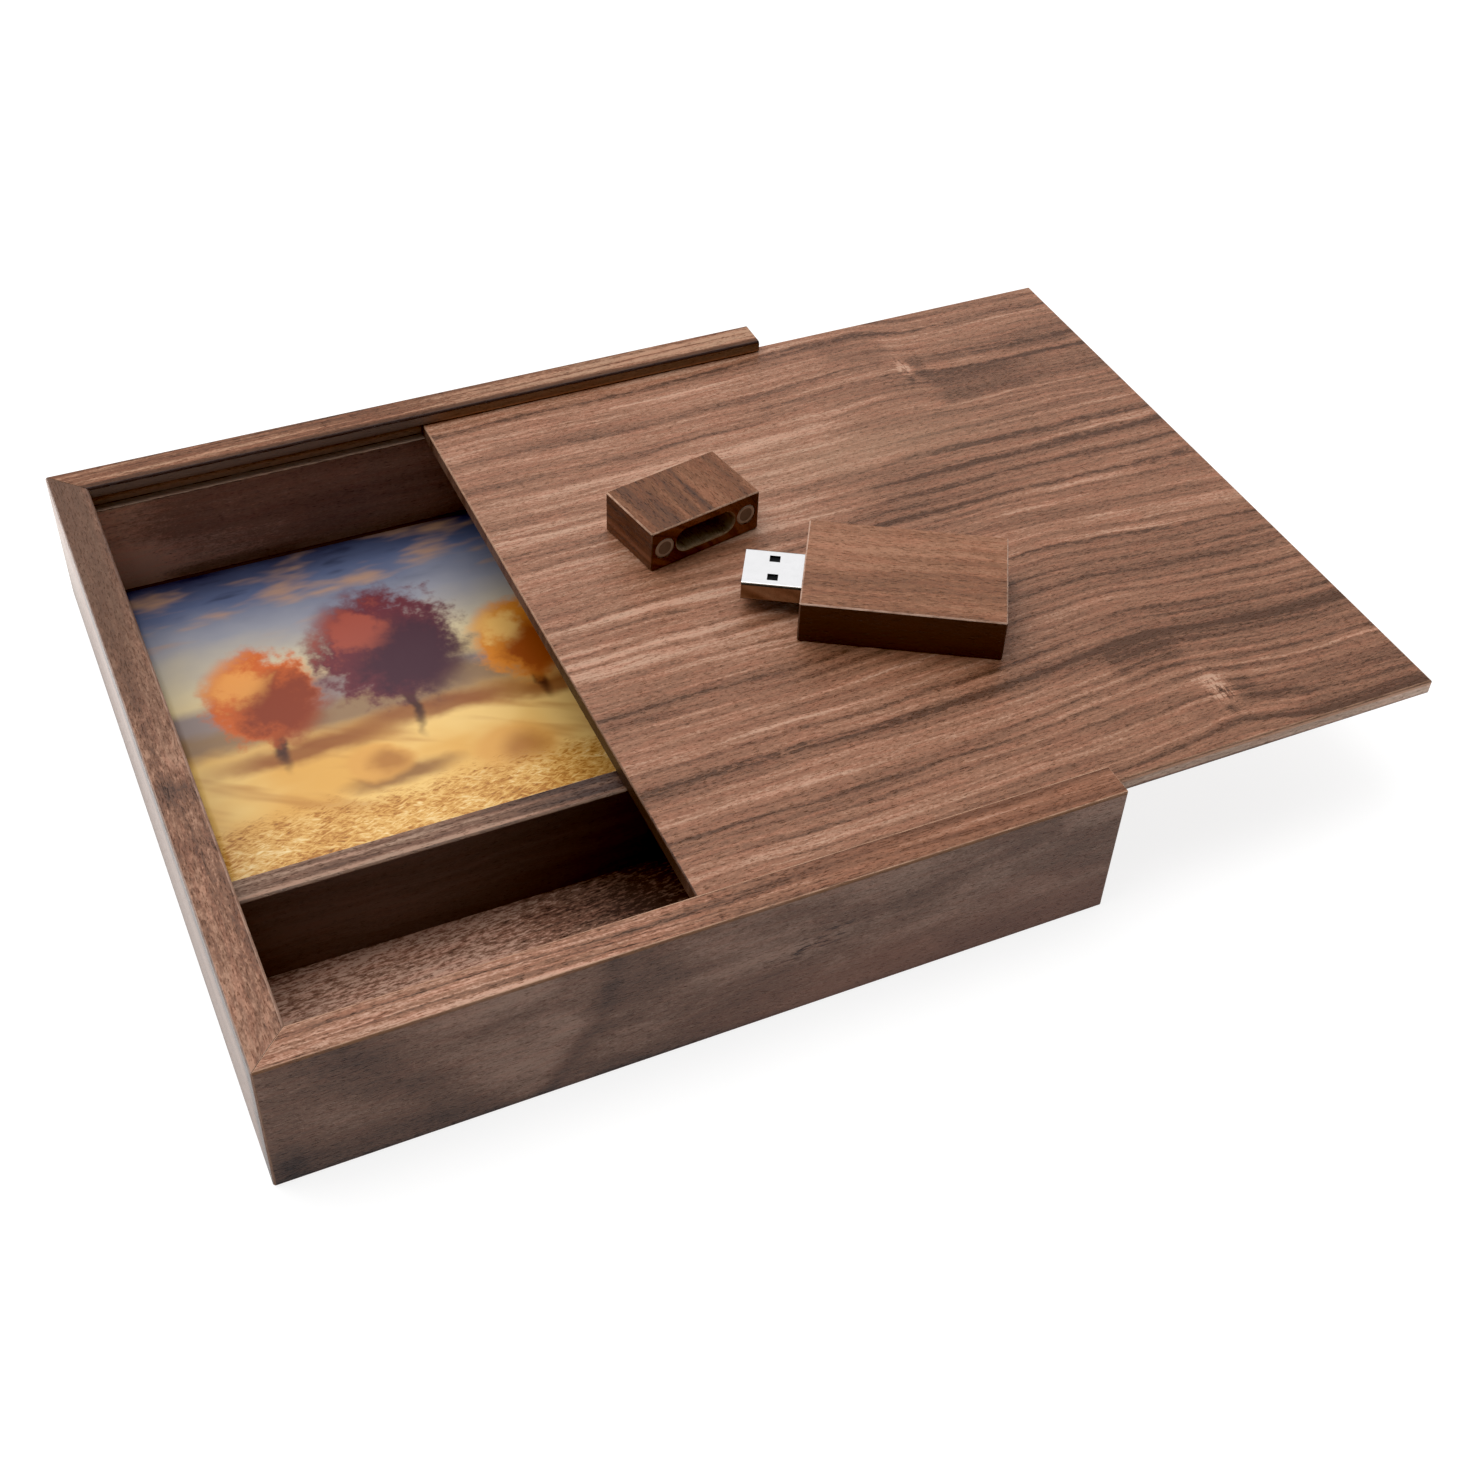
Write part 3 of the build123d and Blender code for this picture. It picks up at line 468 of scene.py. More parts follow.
    # the two knots: small, paler and feathered across the grain
    feather = g.noise(U * 1.1, V * 0.32, 0.0, 3.0, 0.65, 0.8, seed=33.0)
    for xk, yk, wk, hk in ((117.4, 143.6, 1.6, 4.4), (122.8, 15.0, 2.6, 5.4)):
        near = g.bell(U + (frayed - 0.5) * 2.0, xk, wk) * g.bell(V, yk, hk)
        add = add - near * 0.62 + near * g.step(feather, 0.46, 0.62) * 0.90
        add = add + g.bell(U, xk - 0.6, 1.1) * g.bell(V, yk - hk * 1.15, 1.6) * 0.45
        add = add + g.bell(U, xk + wk * 2.2, wk * 1.4) * g.bell(V, yk - hk * 0.3, hk * 0.8) * 0.30
    add = add + g.step(U, 92.0, 124.0) * (0.14 - g.bell(V, 82.0, 34.0) * 0.11) + g.bell(U, 88.0, 16.0) * g.bell(V, 96.0, 14.0) * 0.12
    # paler, yellower wood in the middle
    pale = g.bell(U, 92.0, 30.0) * g.bell(V, 117.0, 7.5)
    # the end that shows inside the box, with painted shade darkening it towards the front
    face = g.step(U, 0.34, 0.05)
    return (add - pale * 0.20 - face * g.step(V, 84.0, 100.0) * 0.22, g.mix(face, worn(172, 138, 113), worn(104, 76, 54)),
            pale * 0.35 * (1.0 - face) + face * g.step(V, 90.0, 66.0) * (g.step(V, 6.0, 16.0) * 0.50 + 0.42))


def lid_rim(g, U, V, W):
    """The lid's eased edges, darker along the end that shows inside the box: painted shade, strongest towards the
    front.
    """
    end = g.step(U, 0.7, 0.3)
    return g.mix(end * g.step(V, 40.0, 24.0), g.mix(end * g.step(V, 80.0, 62.0), worn(180, 142, 118), worn(138, 106, 86)), worn(84, 57, 44))


mats = {}
mats["front_wall"] = walnut("walnut_front", FL, X, Z, Y, seed=11.0, pith=(-30.0, 60.0),
                            **wood_colours((110, 90, 80), (87, 69, 61), (47, 34, 31), **FRONT),
                            lines=((6.0, 0.10), (2.4, 0.08), (1.1, 0.06)), bend=1.2, ragged=1.2, dash=0.42, speck=0.40,
                            grit=0.40, pores=0.7, tears=0.16, drift=0.34, rough=0.50, figure=fig_front,
                            arris=worn(150, 114, 92))
mats["front_top"] = walnut("walnut_front_top", FL, X, Y, Z, seed=12.0, pith=(-14.0, -34.0),
                           **wood_colours((208, 166, 143), (164, 118, 94), (88, 56, 41)),
                           lines=((4.0, 0.10),), bend=0.45, ragged=0.30, dash=0.62, speck=0.60, grit=0.50,
                           pores=1.0, base=0.24, tears=0.25, figure=fig_front_top, rough=0.50, arris=worn(200, 160, 134))
mats["closed_end_wall"] = walnut("walnut_closed_end", FL, Y, X, Z, seed=23.0, pith=(-40.0, -24.0),
                                 **wood_colours((182, 140, 116), (140, 101, 81), (80, 53, 41)),
                                 lines=((5.0, 0.14), (1.6, 0.22), (0.8, 0.22)), bend=1.0, ragged=1.8, dash=0.42, speck=0.44,
                                 grit=0.34, pores=0.8, tears=0.60, rough=0.46, figure=fig_left,
                                 arris=lambda g, U, V, W: g.mix(g.step(U, 98.0, 120.0), worn(182, 148, 130), worn(120, 94, 83)))
mats["closed_end_face"] = walnut("walnut_closed_end_face", FL, Y, Z, X, seed=24.0, pith=(-50.0, 60.0),
                                 **wood_colours((152, 116, 96), (128, 95, 77), (78, 56, 46)),
                                 lines=((6.0, 0.25), (2.2, 0.20)), dash=0.4, speck=0.3, tears=0.3, rough=0.42,
                                 figure=fig_end_face, arris=worn(150, 124, 110), coat=0.34)
# The inside of the back board: a lighter copy of the walnut, painted light against the shade in the box. Its figure
# paints the lid's shadow darkening it to the right, paints light on its lower left and paints shade near the prints;
# its arris colour is a painted shadow.
mats["back_inner"] = walnut("walnut_back_inner", (-86.0, 80.5, 0.0), X, Z, Y, seed=35.0, pith=(-40.0, 50.0),
                            **shade(wood_colours((232, 186, 164), (170, 134, 118), (98, 74, 66)), 1.5, 1.0),
                            lines=((6.0, 0.16), (2.0, 0.14)), dash=0.4, speck=0.4, tears=0.1, rough=0.50,
                            figure=lambda g, U, V, W: (
                                g.step(U, 8.0, 30.0) * 0.44 + g.step(U, 30.0, 60.0) * 0.10 - 0.15 + g.step(V, 20.0, 25.0) * 0.08
                                - g.step(V, 18.0, 7.0) * g.step(U, 70.0, 20.0) * 0.30
                                + g.step(V, 6.8, 4.8) * (g.step(U, 12.0, 24.0) * g.step(U, 60.0, 44.0)) * 0.32, None, 0.0),
                            arris=worn(104, 76, 66))
# The lip above the lid's groove: a lighter copy of the walnut, painted light against its shade. Its figure paints
# shadow on its lower part to the left with a grey shade cast over the left, and a warm painted reflection of the lid on
# its lower part to the right; its arris is darker to the left, warmer to the right.
mats["back_lip"] = walnut("walnut_back_lip", (-86.0, 80.5, 0.0), X, Z, Y, seed=36.0, pith=(-40.0, 50.0),
                          **shade(wood_colours((170, 140, 112), (142, 112, 86), (90, 66, 48)), 1.30, 1.0),
                          lines=((6.0, 0.2), (2.0, 0.2)), dash=0.4, speck=0.4, rough=0.50,
                          figure=lambda g, U, V, W: (
                              g.step(V, 31.8, 30.8) * g.step(U, 96.0, 80.0) * 0.50,
                              g.mix(g.step(U, 84.0, 94.0), worn(188, 170, 160), worn(255, 184, 136)),
                              g.step(U, 94.0, 84.0) * g.step(V, 30.4, 31.4, 0.40, 0.76) + g.step(U, 84.0, 94.0) * g.step(V, 31.1, 30.4) * 0.9),
                          arris=lambda g, U, V, W: g.mix(g.step(U, 84.0, 94.0), worn(92, 62, 48), worn(140, 98, 72)))
# The lid's groove in the back board: a much lighter copy of the walnut, painted light against the groove's shade; its
# figure paints shadow along the groove's top, under the lip.
mats["back_groove"] = walnut("walnut_back_groove", (-86.0, 80.5, 0.0), X, Y, Z, seed=37.0, pith=(-40.0, 50.0),
                             **shade(wood_colours((190, 160, 140), (160, 130, 112), (92, 66, 54)), 1.9, 1.0),
                             lines=((6.0, 0.2), (2.0, 0.2)), dash=0.4, speck=0.4, rough=0.60,
                             figure=lambda g, U, V, W: (
                                 g.step(W, 27.6, 29.2) * 0.90 - g.step(W, 28.0, 27.2) * 0.15, worn(80, 56, 44), g.step(W, 28.9, 29.7) * 0.9),
                             arris=worn(96, 72, 62))
mats["back_face"] = walnut("walnut_back_face", (-86.0, 88.5, 0.0), X, Z, Y, seed=38.0, pith=(-24.0, 40.0),
                           **wood_colours((176, 134, 110), (136, 98, 79), (82, 54, 42)),
                           lines=((6.0, 0.34), (2.2, 0.30), (1.0, 0.22)), bend=1.1, ragged=0.9, dash=0.42, speck=0.40,
                           tears=0.14, rough=0.50, arris=worn(160, 124, 102))
mats["front_inner"] = walnut("walnut_front_inner", FL, X, Z, Y, seed=13.0, pith=(-26.0, 44.0),
                             **wood_colours((184, 140, 116), (142, 102, 82), (84, 55, 42)),
                             lines=((6.0, 0.30), (2.2, 0.30), (1.0, 0.20)), bend=0.9, ragged=0.8, dash=0.42, speck=0.40,
                             rough=0.52, arris=worn(170, 134, 112))
mats["back_wall"] = walnut("walnut_back", (-86.0, 80.5, 0.0), X, Y, Z, seed=34.0, pith=(-18.0, -30.0), lean=0.02,
                           **wood_colours((190, 150, 124), (142, 101, 80), (80, 51, 38)),
                           lines=((5.0, 0.12),), bend=0.6, ragged=0.8, dash=0.46, speck=0.42, grit=0.30,
                           tears=0.25, base=0.24, rough=0.50, spec=0.12, figure=fig_back_top,
                           # the arris along the inner edge is painted dark: a painted shadow line
                           arris=lambda g, U, V, W: g.mix(g.step(V, 1.6, 0.9), worn(142, 112, 93), worn(72, 48, 38)))
mats["open_end_wall"] = walnut("walnut_open_end", (78.0, -82.5, 0.0), Y, Z, X, seed=45.0, pith=(-20.0, 40.0),
                               **wood_colours((164, 124, 102), (134, 97, 79), (80, 54, 42)),
                               lines=((5.0, 0.30), (2.0, 0.30), (0.9, 0.25)), rough=0.50, arris=worn(176, 140, 118))
mats["bottom_panel"] = walnut("walnut_bottom", (-82.0, -84.5, 0.0), X, Y, Z, seed=56.0, pith=(70.0, -90.0),
                              **wood_colours((224, 182, 160), (166, 124, 104), (80, 52, 40)),
                              lines=((7.0, 0.06), (1.0, 0.16), (0.6, 0.14)), ragged=0.6, bend=0.5, dash=0.36,
                              speck=0.70, grit=0.5, pores=0.7, tears=0.0, base=0.18, drift=0.16, rough=0.58, figure=fig_floor)
mats["divider"] = walnut("walnut_divider", (-80.0, -44.4, 3.0), X, Y, Z, seed=67.0, pith=(-12.0, -26.0),
                         **wood_colours((176, 144, 124), (128, 97, 81), (76, 52, 41)),
                         lines=((4.0, 0.10), (1.5, 0.14)), bend=0.5, ragged=0.8, dash=0.46, speck=0.42,
                         figure=fig_divider, rough=0.52, arris=worn(184, 154, 136))
# A greyer, plainer copy of the walnut for the divider's front face, tuned to its shade: painted shade; its figure
# paints the lid's shadow, darker to the right.
mats["divider_face"] = walnut("walnut_divider_face", (-80.0, -44.4, 3.0), X, Z, Y, seed=68.0, pith=(-30.0, 40.0),
                              **shade(wood_colours((130, 115, 108), (110, 98, 92), (80, 70, 66)), 1.28, 1.0),
                              lines=((4.0, 0.16), (1.4, 0.14)), dash=0.3, speck=0.24, rough=0.55,
                              figure=lambda g, U, V, W: (g.step(U, 20.0, 80.0) * 0.5, None, 0.0),
                              arris=worn(170, 140, 122))
mats["sliding_lid"] = walnut("walnut_lid", (LID_X, LID_Y, 26.5), X, Y, Z, seed=78.0, pith=(80.0, -260.0), lean=0.0,
                             **wood_colours((202, 161, 137), (165, 119, 95), (97, 62, 42)),
                             lines=((7.0, 0.10),), ragged=0.6, dash=0.52, speck=0.50, grit=0.46, pores=0.60, base=0.25,
                             rough=0.47, figure=fig_lid, arris=lid_rim, end=0.40)

# The lid's long edges: a painted shadow line darkens their lower part and their lower arris.
mats["lid_edge"] = walnut("walnut_lid_edge", (LID_X, LID_Y, 26.5), X, Z, Y, seed=79.0, pith=(-20.0, 40.0),
                          **wood_colours((164, 142, 128), (134, 114, 101), (92, 74, 64), **FRONT),
                          lines=((3.0, 0.20), (0.9, 0.30)), bend=0.3, ragged=0.4, dash=0.5, speck=0.3, rough=0.50,
                          figure=lambda g, U, V, W: (
                              g.step(V, 1.1, 0.5) * g.step(U, 134.0, 122.0, 0.42, 0.75) + g.step(U, 140.0, 84.0) * 0.32 - g.step(U, 136.0, 160.0) * 0.30,
                              worn(140, 105, 85, **FRONT), g.step(V, 2.3, 2.9) * 0.9),
                          arris=lambda g, U, V, W: g.mix(g.step(V, 1.6, 1.0) * g.step(U, 134.0, 122.0, 0.70, 1.0), worn(156, 126, 108), worn(60, 46, 40)))

# ---------------------------------------------------------------- where the loose pieces lie
DRIVE_O = (140.292 - 86.0, 79.400 - 88.5, 30.1)
DRIVE_A = -0.530177
DRIVE_U = (math.cos(DRIVE_A), math.sin(DRIVE_A), 0.0)
DRIVE_V = (-math.sin(DRIVE_A), math.cos(DRIVE_A), 0.0)
CAP_O = (127.720 - 86.0, 102.086 - 88.5, 30.1)
CAP_A = 1.767248
CAP_U = (math.cos(CAP_A), math.sin(CAP_A), 0.0)
CAP_V = (-math.sin(CAP_A), math.cos(CAP_A), 0.0)


def fig_cap(g, U, V, W):
    """Dark rings along the cap, closer together on one side."""
    n = g.noise(U * 0.10, V * 0.25, W * 0.25, 2.0, seed=9.0)
    v = V + (n - 0.5) * 3.0
    d = g.bell(v, 6.2, 1.6) * 0.34 + g.bell(v, 1.6, 0.9) * 0.40 + g.bell(v, -1.4, 1.0) * 0.42 + g.bell(v, 3.4, 0.5) * 0.22
    return d + g.bell(v, -12.0, 1.2) * 0.22, None, 0.0


mats["cap_block"] = walnut("walnut_cap", CAP_O, CAP_U, CAP_V, Z, seed=89.0, pith=(-10.0, -22.0),
                           **wood_colours((158, 112, 86), (128, 87, 64), (80, 48, 34)),
                           lines=((3.4, 0.20), (1.2, 0.26), (0.6, 0.24)), bend=0.35, ragged=0.5, dash=0.52, speck=0.50, grit=0.40, pores=1.0, base=0.20,
                           rough=0.46, spec=0.16, figure=fig_cap, arris=worn(205, 166, 142), end=0.55)
mats["drive_body"] = walnut("walnut_drive", DRIVE_O, DRIVE_U, DRIVE_V, Z, seed=97.0, pith=(40.0, -70.0),
                            **wood_colours((174, 126, 99), (146, 101, 76), (94, 59, 41)),
                            lines=((5.0, 0.22), (1.6, 0.20), (0.7, 0.20)), bend=0.4, ragged=0.7, dash=0.66, speck=0.60, grit=0.46, pores=1.0, base=0.08,
                            drift=0.3, rough=0.46, arris=worn(206, 170, 150), end=0.55)
# The cap's upright faces: a darker copy of the cap's walnut, painted shade; end lifts its cut ends, the mouth face
# among them, back up.
mats["cap_side"] = walnut("walnut_cap_side", CAP_O, CAP_U, Z, CAP_V, seed=88.0, pith=(-16.0, 24.0),
                          **shade(wood_colours((160, 110, 82), (134, 88, 64), (76, 42, 28)), 0.68, 1.10),
                          lines=((3.4, 0.34), (1.3, 0.34), (0.7, 0.24)), bend=0.35, ragged=0.3, dash=0.40, speck=0.30,
                          rough=0.48, arris=worn(198, 158, 134), end=1.72)
# Inside the cap's recess: paler, rougher wood, its colours raised by 1.35: painted light against the recess's own
# shade.
mats["cap_recess"] = walnut("walnut_cap_recess", CAP_O, CAP_U, CAP_V, Z, seed=87.0, pith=(-20.0, 30.0),
                            **shade(wood_colours((180, 156, 128), (152, 128, 100), (104, 80, 60)), 1.35, 1.0),
                            lines=((2.4, 0.2), (1.0, 0.2)), dash=0.5, speck=0.5, rough=0.7, end=0.9)
# The drive's upright faces: a much darker copy of the drive's walnut, painted shade.
mats["drive_side"] = walnut("walnut_drive_side", DRIVE_O, DRIVE_U, Z, DRIVE_V, seed=96.0, pith=(-30.0, 50.0),
                            **shade(wood_colours((150, 104, 80), (132, 90, 68), (90, 56, 40)), 0.40, 1.04),
                            lines=((4.0, 0.24), (1.5, 0.22)), bend=0.35, ragged=0.3, dash=0.3, speck=0.2,
                            rough=0.50, arris=worn(196, 156, 134), end=0.8)

# ---------------------------------------------------------------- wooden pieces, taken from the frame and finished
def wood_piece(node, name, body, material, grain, width=0.0, seg=2, seam=None, others=()):
    """The CAD solid's faces joined up again, its sharp edges eased by a small rounding, and each face marked as
    an eased edge, a cut end or a plain face. others lists (test on a face, material) for faces that differ."""
    bm = bmesh.new()
    for n in node if isinstance(node, (list, tuple)) else [node]:
        bm.from_mesh(nodes[n].data)
    bmesh.ops.remove_doubles(bm, verts=bm.verts, dist=2e-6)
    bmesh.ops.dissolve_limit(bm, angle_limit=math.radians(0.4), verts=bm.verts, edges=bm.edges)
    if width:
        sharp = [e for e in bm.edges if len(e.link_faces) == 2 and e.calc_face_angle(0.0) > math.radians(25.0)]
        if seam is not None:
            sharp = [e for e in sharp if not all(abs(v.co.z - seam) < 1e-5 for v in e.verts)]
        bmesh.ops.bevel(bm, geom=sharp, offset=width * MM, offset_type="OFFSET", segments=seg, profile=0.5,
                        affect="EDGES", clamp_overlap=True)
    bmesh.ops.recalc_face_normals(bm, faces=bm.faces)
    arris = bm.faces.layers.float.new("arris")
    cut = bm.faces.layers.float.new("cut_end")
    axes = [Vector(grain).normalized(), Vector((0, 0, 1))]
    axes.append(axes[0].cross(axes[1]))
    for f in bm.faces:
        f.normal_update()
        most = max(abs(f.normal.dot(a)) for a in axes)
        f[arris] = 0.0 if most >= 0.985 else 1.0 if f.normal.z > 0.3 or width else 0.15
        f[cut] = 1.0 if abs(f.normal.dot(axes[0])) > 0.9 else 0.0
        f.smooth = True
        for n, (test, _) in enumerate(others):
            if test(f):
                f.material_index = n + 1
                break
    me = bpy.data.meshes.new(name)
    bm.to_mesh(me)
    bm.free()
    me.materials.append(material)
    for _, extra in others:
        me.materials.append(extra)
    me.set_sharp_from_angle(angle=math.radians(38.0))
    ob = bpy.data.objects.new(name, me)
    bpy.context.scene.collection.objects.link(ob)
    wn = ob.modifiers.new("face_weight", "WEIGHTED_NORMAL")
    wn.keep_sharp = True
    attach(ob, body)
    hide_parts(*(node if isinstance(node, (list, tuple)) else [node]))
    return ob


def outer_front(f):
    return f.normal.y < -0.5 and f.calc_center_median().y < -0.0882


front = wood_piece("front_wall", "front_board", "box", mats["front_top"], X, 0.14,
                   others=[(outer_front, mats["front_wall"]), (lambda f: f.normal.y > 0.5, mats["front_inner"])])
wood_piece("back_wall", "back_board", "box", mats["back_wall"], X, 0.14,
           others=[(lambda f: f.normal.y < -0.5 and f.calc_center_median().z < 0.0262, mats["back_inner"]),
                   (lambda f: f.normal.y < -0.9 and f.calc_center_median().z > 0.0302, mats["back_lip"]),
                   (lambda f: 0.0263 < f.calc_center_median().z < 0.0304 and f.calc_center_median().y < 0.0840, mats["back_groove"]),
                   (lambda f: f.normal.y > 0.5 and f.calc_center_median().y > 0.0882, mats["back_face"])])
wood_piece("closed_end_wall", "closed_end_board", "box", mats["closed_end_wall"], Y, 0.14,
           others=[(lambda f: f.normal.x < -0.5 and f.calc_center_median().x < -0.0857, mats["closed_end_face"])])
wood_piece("open_end_wall", "open_end_board", "box", mats["open_end_wall"], Y, 0.14)
wood_piece("bottom_panel", "bottom_board", "box", mats["bottom_panel"], X, 0.0)
wood_piece("divider", "divider_bar", "box", mats["divider"], X, 0.12,
           others=[(lambda f: f.normal.y < -0.5, mats["divider_face"])])
wood_piece("sliding_lid", "lid_board", "lid", mats["sliding_lid"], X, 0.10,
           others=[(lambda f: abs(f.normal.y) > 0.9, mats["lid_edge"])])


def upright(f):
    return abs(f.normal.z) < 0.3


def in_recess(f):
    """The cap's recess and its eased lip."""
    c = f.calc_center_median() - Vector(CAP_O) * MM
    along, across = c.dot(Vector(CAP_U)) / MM, c.dot(Vector(CAP_V)) / MM
    return abs(across) < 8.1 and abs(c.z / MM - 5.1) < 3.2 and 0.01 < along < 13.5


# upright faces of the cap and the drive take their darker copies: painted shade
wood_piece("cap_block", "cap_wood", "cap", mats["cap_block"], CAP_U,
           others=[(in_recess, mats["cap_recess"]), (upright, mats["cap_side"])])
wood_piece("drive_body_lower", "drive_wood_lower", "drive", mats["drive_body"], DRIVE_U,
           others=[(upright, mats["drive_side"])])
wood_piece("drive_body_upper", "drive_wood_upper", "drive", mats["drive_body"], DRIVE_U,
           others=[(upright, mats["drive_side"])])


# ---------------------------------------------------------------- metal, plastic and electronics
def metal(name, colour, rough, origin, u, v, scratch=0.0, blotch=0.0, line=0.0, metallic=1.0, ring=None):
    g = Graph(name)
    U, V, W = g.coords(origin, u, v, Z)
    n = g.noise(U * 0.4, V * 0.4, W * 0.4, 3.0, 0.6, seed=2.0)
    s = g.noise(U * 0.35, V * 14.0, W * 14.0, 2.0, 0.6, seed=5.0)
    col = g.mix(g.step(n, 0.35, 0.7) * blotch, colour, tuple(c * 0.72 for c in colour[:3]) + (1,))
    col = g.mix(g.step(s, 0.52, 0.75) * scratch, col, tuple(c * 0.80 for c in colour[:3]) + (1,))
    if ring:
        col = g.mix(g.attr("ring"), col, ring)
    g.set(Base_Color=col, Metallic=metallic)
    g.put(g.bsdf.inputs["Roughness"], g.m("ADD", rough, (n - 0.5) * 0.14 + (s - 0.5) * (0.25 * scratch)))
    g.bump(n * 0.6 + s * line, 0.000012)
    return g.mat


def plastic(name, colour, rough, scale=2.2, grain=0.00001, vary=0.25):
    g = Graph(name)
    U, V, W = g.coords((0, 0, 0), X, Y, Z)
    n = g.noise(U * scale, V * scale, W * scale, 3.0, 0.6, seed=4.0)
    f = g.noise(U * scale * 5, V * scale * 5, W * scale * 5, 2.0, 0.6, seed=6.0)
    g.set(Base_Color=g.mix(g.step(n, 0.3, 0.7) * vary, colour, tuple(c * 1.5 for c in colour[:3]) + (1,)))
    g.put(g.bsdf.inputs["Roughness"], g.m("ADD", rough, (n - 0.5) * 0.15))
    g.bump(f, grain)
    return g.mat


def board_material():
    """Green solder mask over copper tracks."""
    g = Graph("board_mask")
    U, V, W = g.coords(DRIVE_O, DRIVE_U, DRIVE_V, Z)
    fu = g.m("PINGPONG", U + 3.0, 0.9)
    fv = g.m("PINGPONG", V, 0.6)
    n = g.noise(U * 0.20, V * 0.20, 1.0, 1.0, 0.5, seed=3.0)
    pick = g.step(n, 0.48, 0.52)
    track = g.step(fv, 0.22, 0.30, 1.0, 0.0) * pick + g.step(fu, 0.30, 0.40, 1.0, 0.0) * (1.0 - pick)
    col = g.mix(track, lin(12, 58, 34), lin(30, 104, 56))
    g.set(Base_Color=col)
    g.put(g.bsdf.inputs["Roughness"], g.m("ADD", 0.34, n * 0.10))
    g.bump(track, 0.00003)
    return g.mat


steel = metal("plug_steel", lin(190, 190, 192), 0.15, DRIVE_O, DRIVE_U, DRIVE_V, scratch=0.25, blotch=0.12)
magnet = metal("magnet_plate", lin(134, 124, 112), 0.42, CAP_O, CAP_U, CAP_V, scratch=0.4, blotch=0.9, line=0.3, metallic=0.55,
               ring=lin(178, 172, 160))
# the shell's sides: a brownish steel, a painted reflection of the lid; its rounded bends: a dark steel, a painted dark
# reflection
steel_side_painted_reflection = metal("plug_steel_side", lin(150, 130, 112), 0.16, DRIVE_O, DRIVE_U, DRIVE_V, scratch=0.25, blotch=0.12)
steel_bend_painted_dark = metal("plug_steel_bend", lin(84, 76, 68), 0.30, DRIVE_O, DRIVE_U, DRIVE_V, scratch=0.25, blotch=0.12)
gold = metal("contact_gold", lin(226, 178, 92), 0.25, DRIVE_O, DRIVE_U, DRIVE_V, scratch=0.4, blotch=0.2)
can = metal("crystal_can", lin(186, 186, 184), 0.32, DRIVE_O, DRIVE_U, DRIVE_V, scratch=0.3, blotch=0.2)
tongue = plastic("tongue_black", lin(9, 9, 10), 0.75)
tongue.node_tree.nodes["Principled BSDF"].inputs["Specular IOR Level"].default_value = 0.08
epoxy = plastic("chip_epoxy", lin(30, 30, 31), 0.55, 3.0, 0.00002)
ceramic = plastic("chip_ceramic", lin(138, 108, 78), 0.5, 2.0)
mask = board_material()


def dress(node, material, smooth=True):
    ob = nodes[node]
    ob.data.materials.clear()
    ob.data.materials.append(material)
    if smooth:
        for p in ob.data.polygons:
            p.use_smooth = True
        ob.data.set_sharp_from_angle(angle=math.radians(32.0))


dress("plug_shell", steel)
shell = nodes["plug_shell"].data
shell.materials.append(steel_side_painted_reflection)
shell.materials.append(steel_bend_painted_dark)
# sides take the painted reflection of the lid, rounded bends the painted dark reflection, the top the plain steel
for p in shell.polygons:
    p.material_index = 1 if abs(p.normal.z) < 0.30 else 2 if abs(p.normal.z) < 0.96 else 0
dress("plug_tongue", tongue)
dress("plug_contacts", gold)
dress("circuit_board", mask)
dress("controller_chip", epoxy)
dress("memory_chip", epoxy)
dress("crystal_can", can)
dress("board_components", ceramic)


def disc_magnets(node, name, body, axis):
    """Plated disc magnets: a flat face with a rolled rim, one for each disc in the frame."""
    axis = Vector(axis).normalized()
    src = bmesh.new()
    src.from_mesh(nodes[node].data)
    bmesh.ops.remove_doubles(src, verts=src.verts, dist=2e-6)
    left, discs = set(src.verts), []
    while left:
        todo, group = [left.pop()], []
        while todo:
            v = todo.pop()
            group.append(v)
            for e in v.link_edges:
                o = e.other_vert(v)
                if o in left:
                    left.discard(o)
                    todo.append(o)
        discs.append([v.co.copy() for v in group])
    src.free()
    up = Vector((0, 0, 1))
    across = axis.cross(up).normalized()
    bm = bmesh.new()
    ring = bm.faces.layers.float.new("ring")
    for pts in sorted(discs, key=lambda p: sum(q.dot(across) for q in p) / len(p)):
        lo = min(p.dot(axis) for p in pts)
        hi = max(p.dot(axis) for p in pts)
        mid = sum(pts, Vector()) / len(pts)
        mid = mid - axis * mid.dot(axis)
        rad = max((p - axis * p.dot(axis) - mid).length for p in pts)
        rim = 0.45 * MM
        profile = [(lo, rad)]
        for i in range(7):
            a = math.pi / 2 * i / 6
            profile.append((hi - rim * 0.6 + rim * 0.6 * math.sin(a), rad - rim + rim * math.cos(a)))
        profile.append((hi - 0.03 * MM, rad * 0.66))
        profile.append((hi - 0.03 * MM, rad * 0.30))
        rings = []
        for h, r in profile:
            rings.append([bm.verts.new(mid + axis * h + (across * math.cos(t) + up * math.sin(t)) * r)
                          for t in (2 * math.pi * k / 48 for k in range(48))])
        for n, (r0, r1) in enumerate(zip(rings, rings[1:])):
            for k in range(48):
                f = bm.faces.new((r0[k], r0[(k + 1) % 48], r1[(k + 1) % 48], r1[k]))
                f[ring] = 1.0 if 3 <= n <= 7 else 0.0
        bm.faces.new(rings[-1])
        bm.faces.new(tuple(reversed(rings[0])))
    bmesh.ops.recalc_face_normals(bm, faces=bm.faces)
    for f in bm.faces:
        f.smooth = True
    me = bpy.data.meshes.new(name)
    bm.to_mesh(me)
    bm.free()
    me.materials.append(magnet)
    me.set_sharp_from_angle(angle=math.radians(60.0))
    ob = bpy.data.objects.new(name, me)
    bpy.context.scene.collection.objects.link(ob)
    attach(ob, body)
    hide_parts(node)




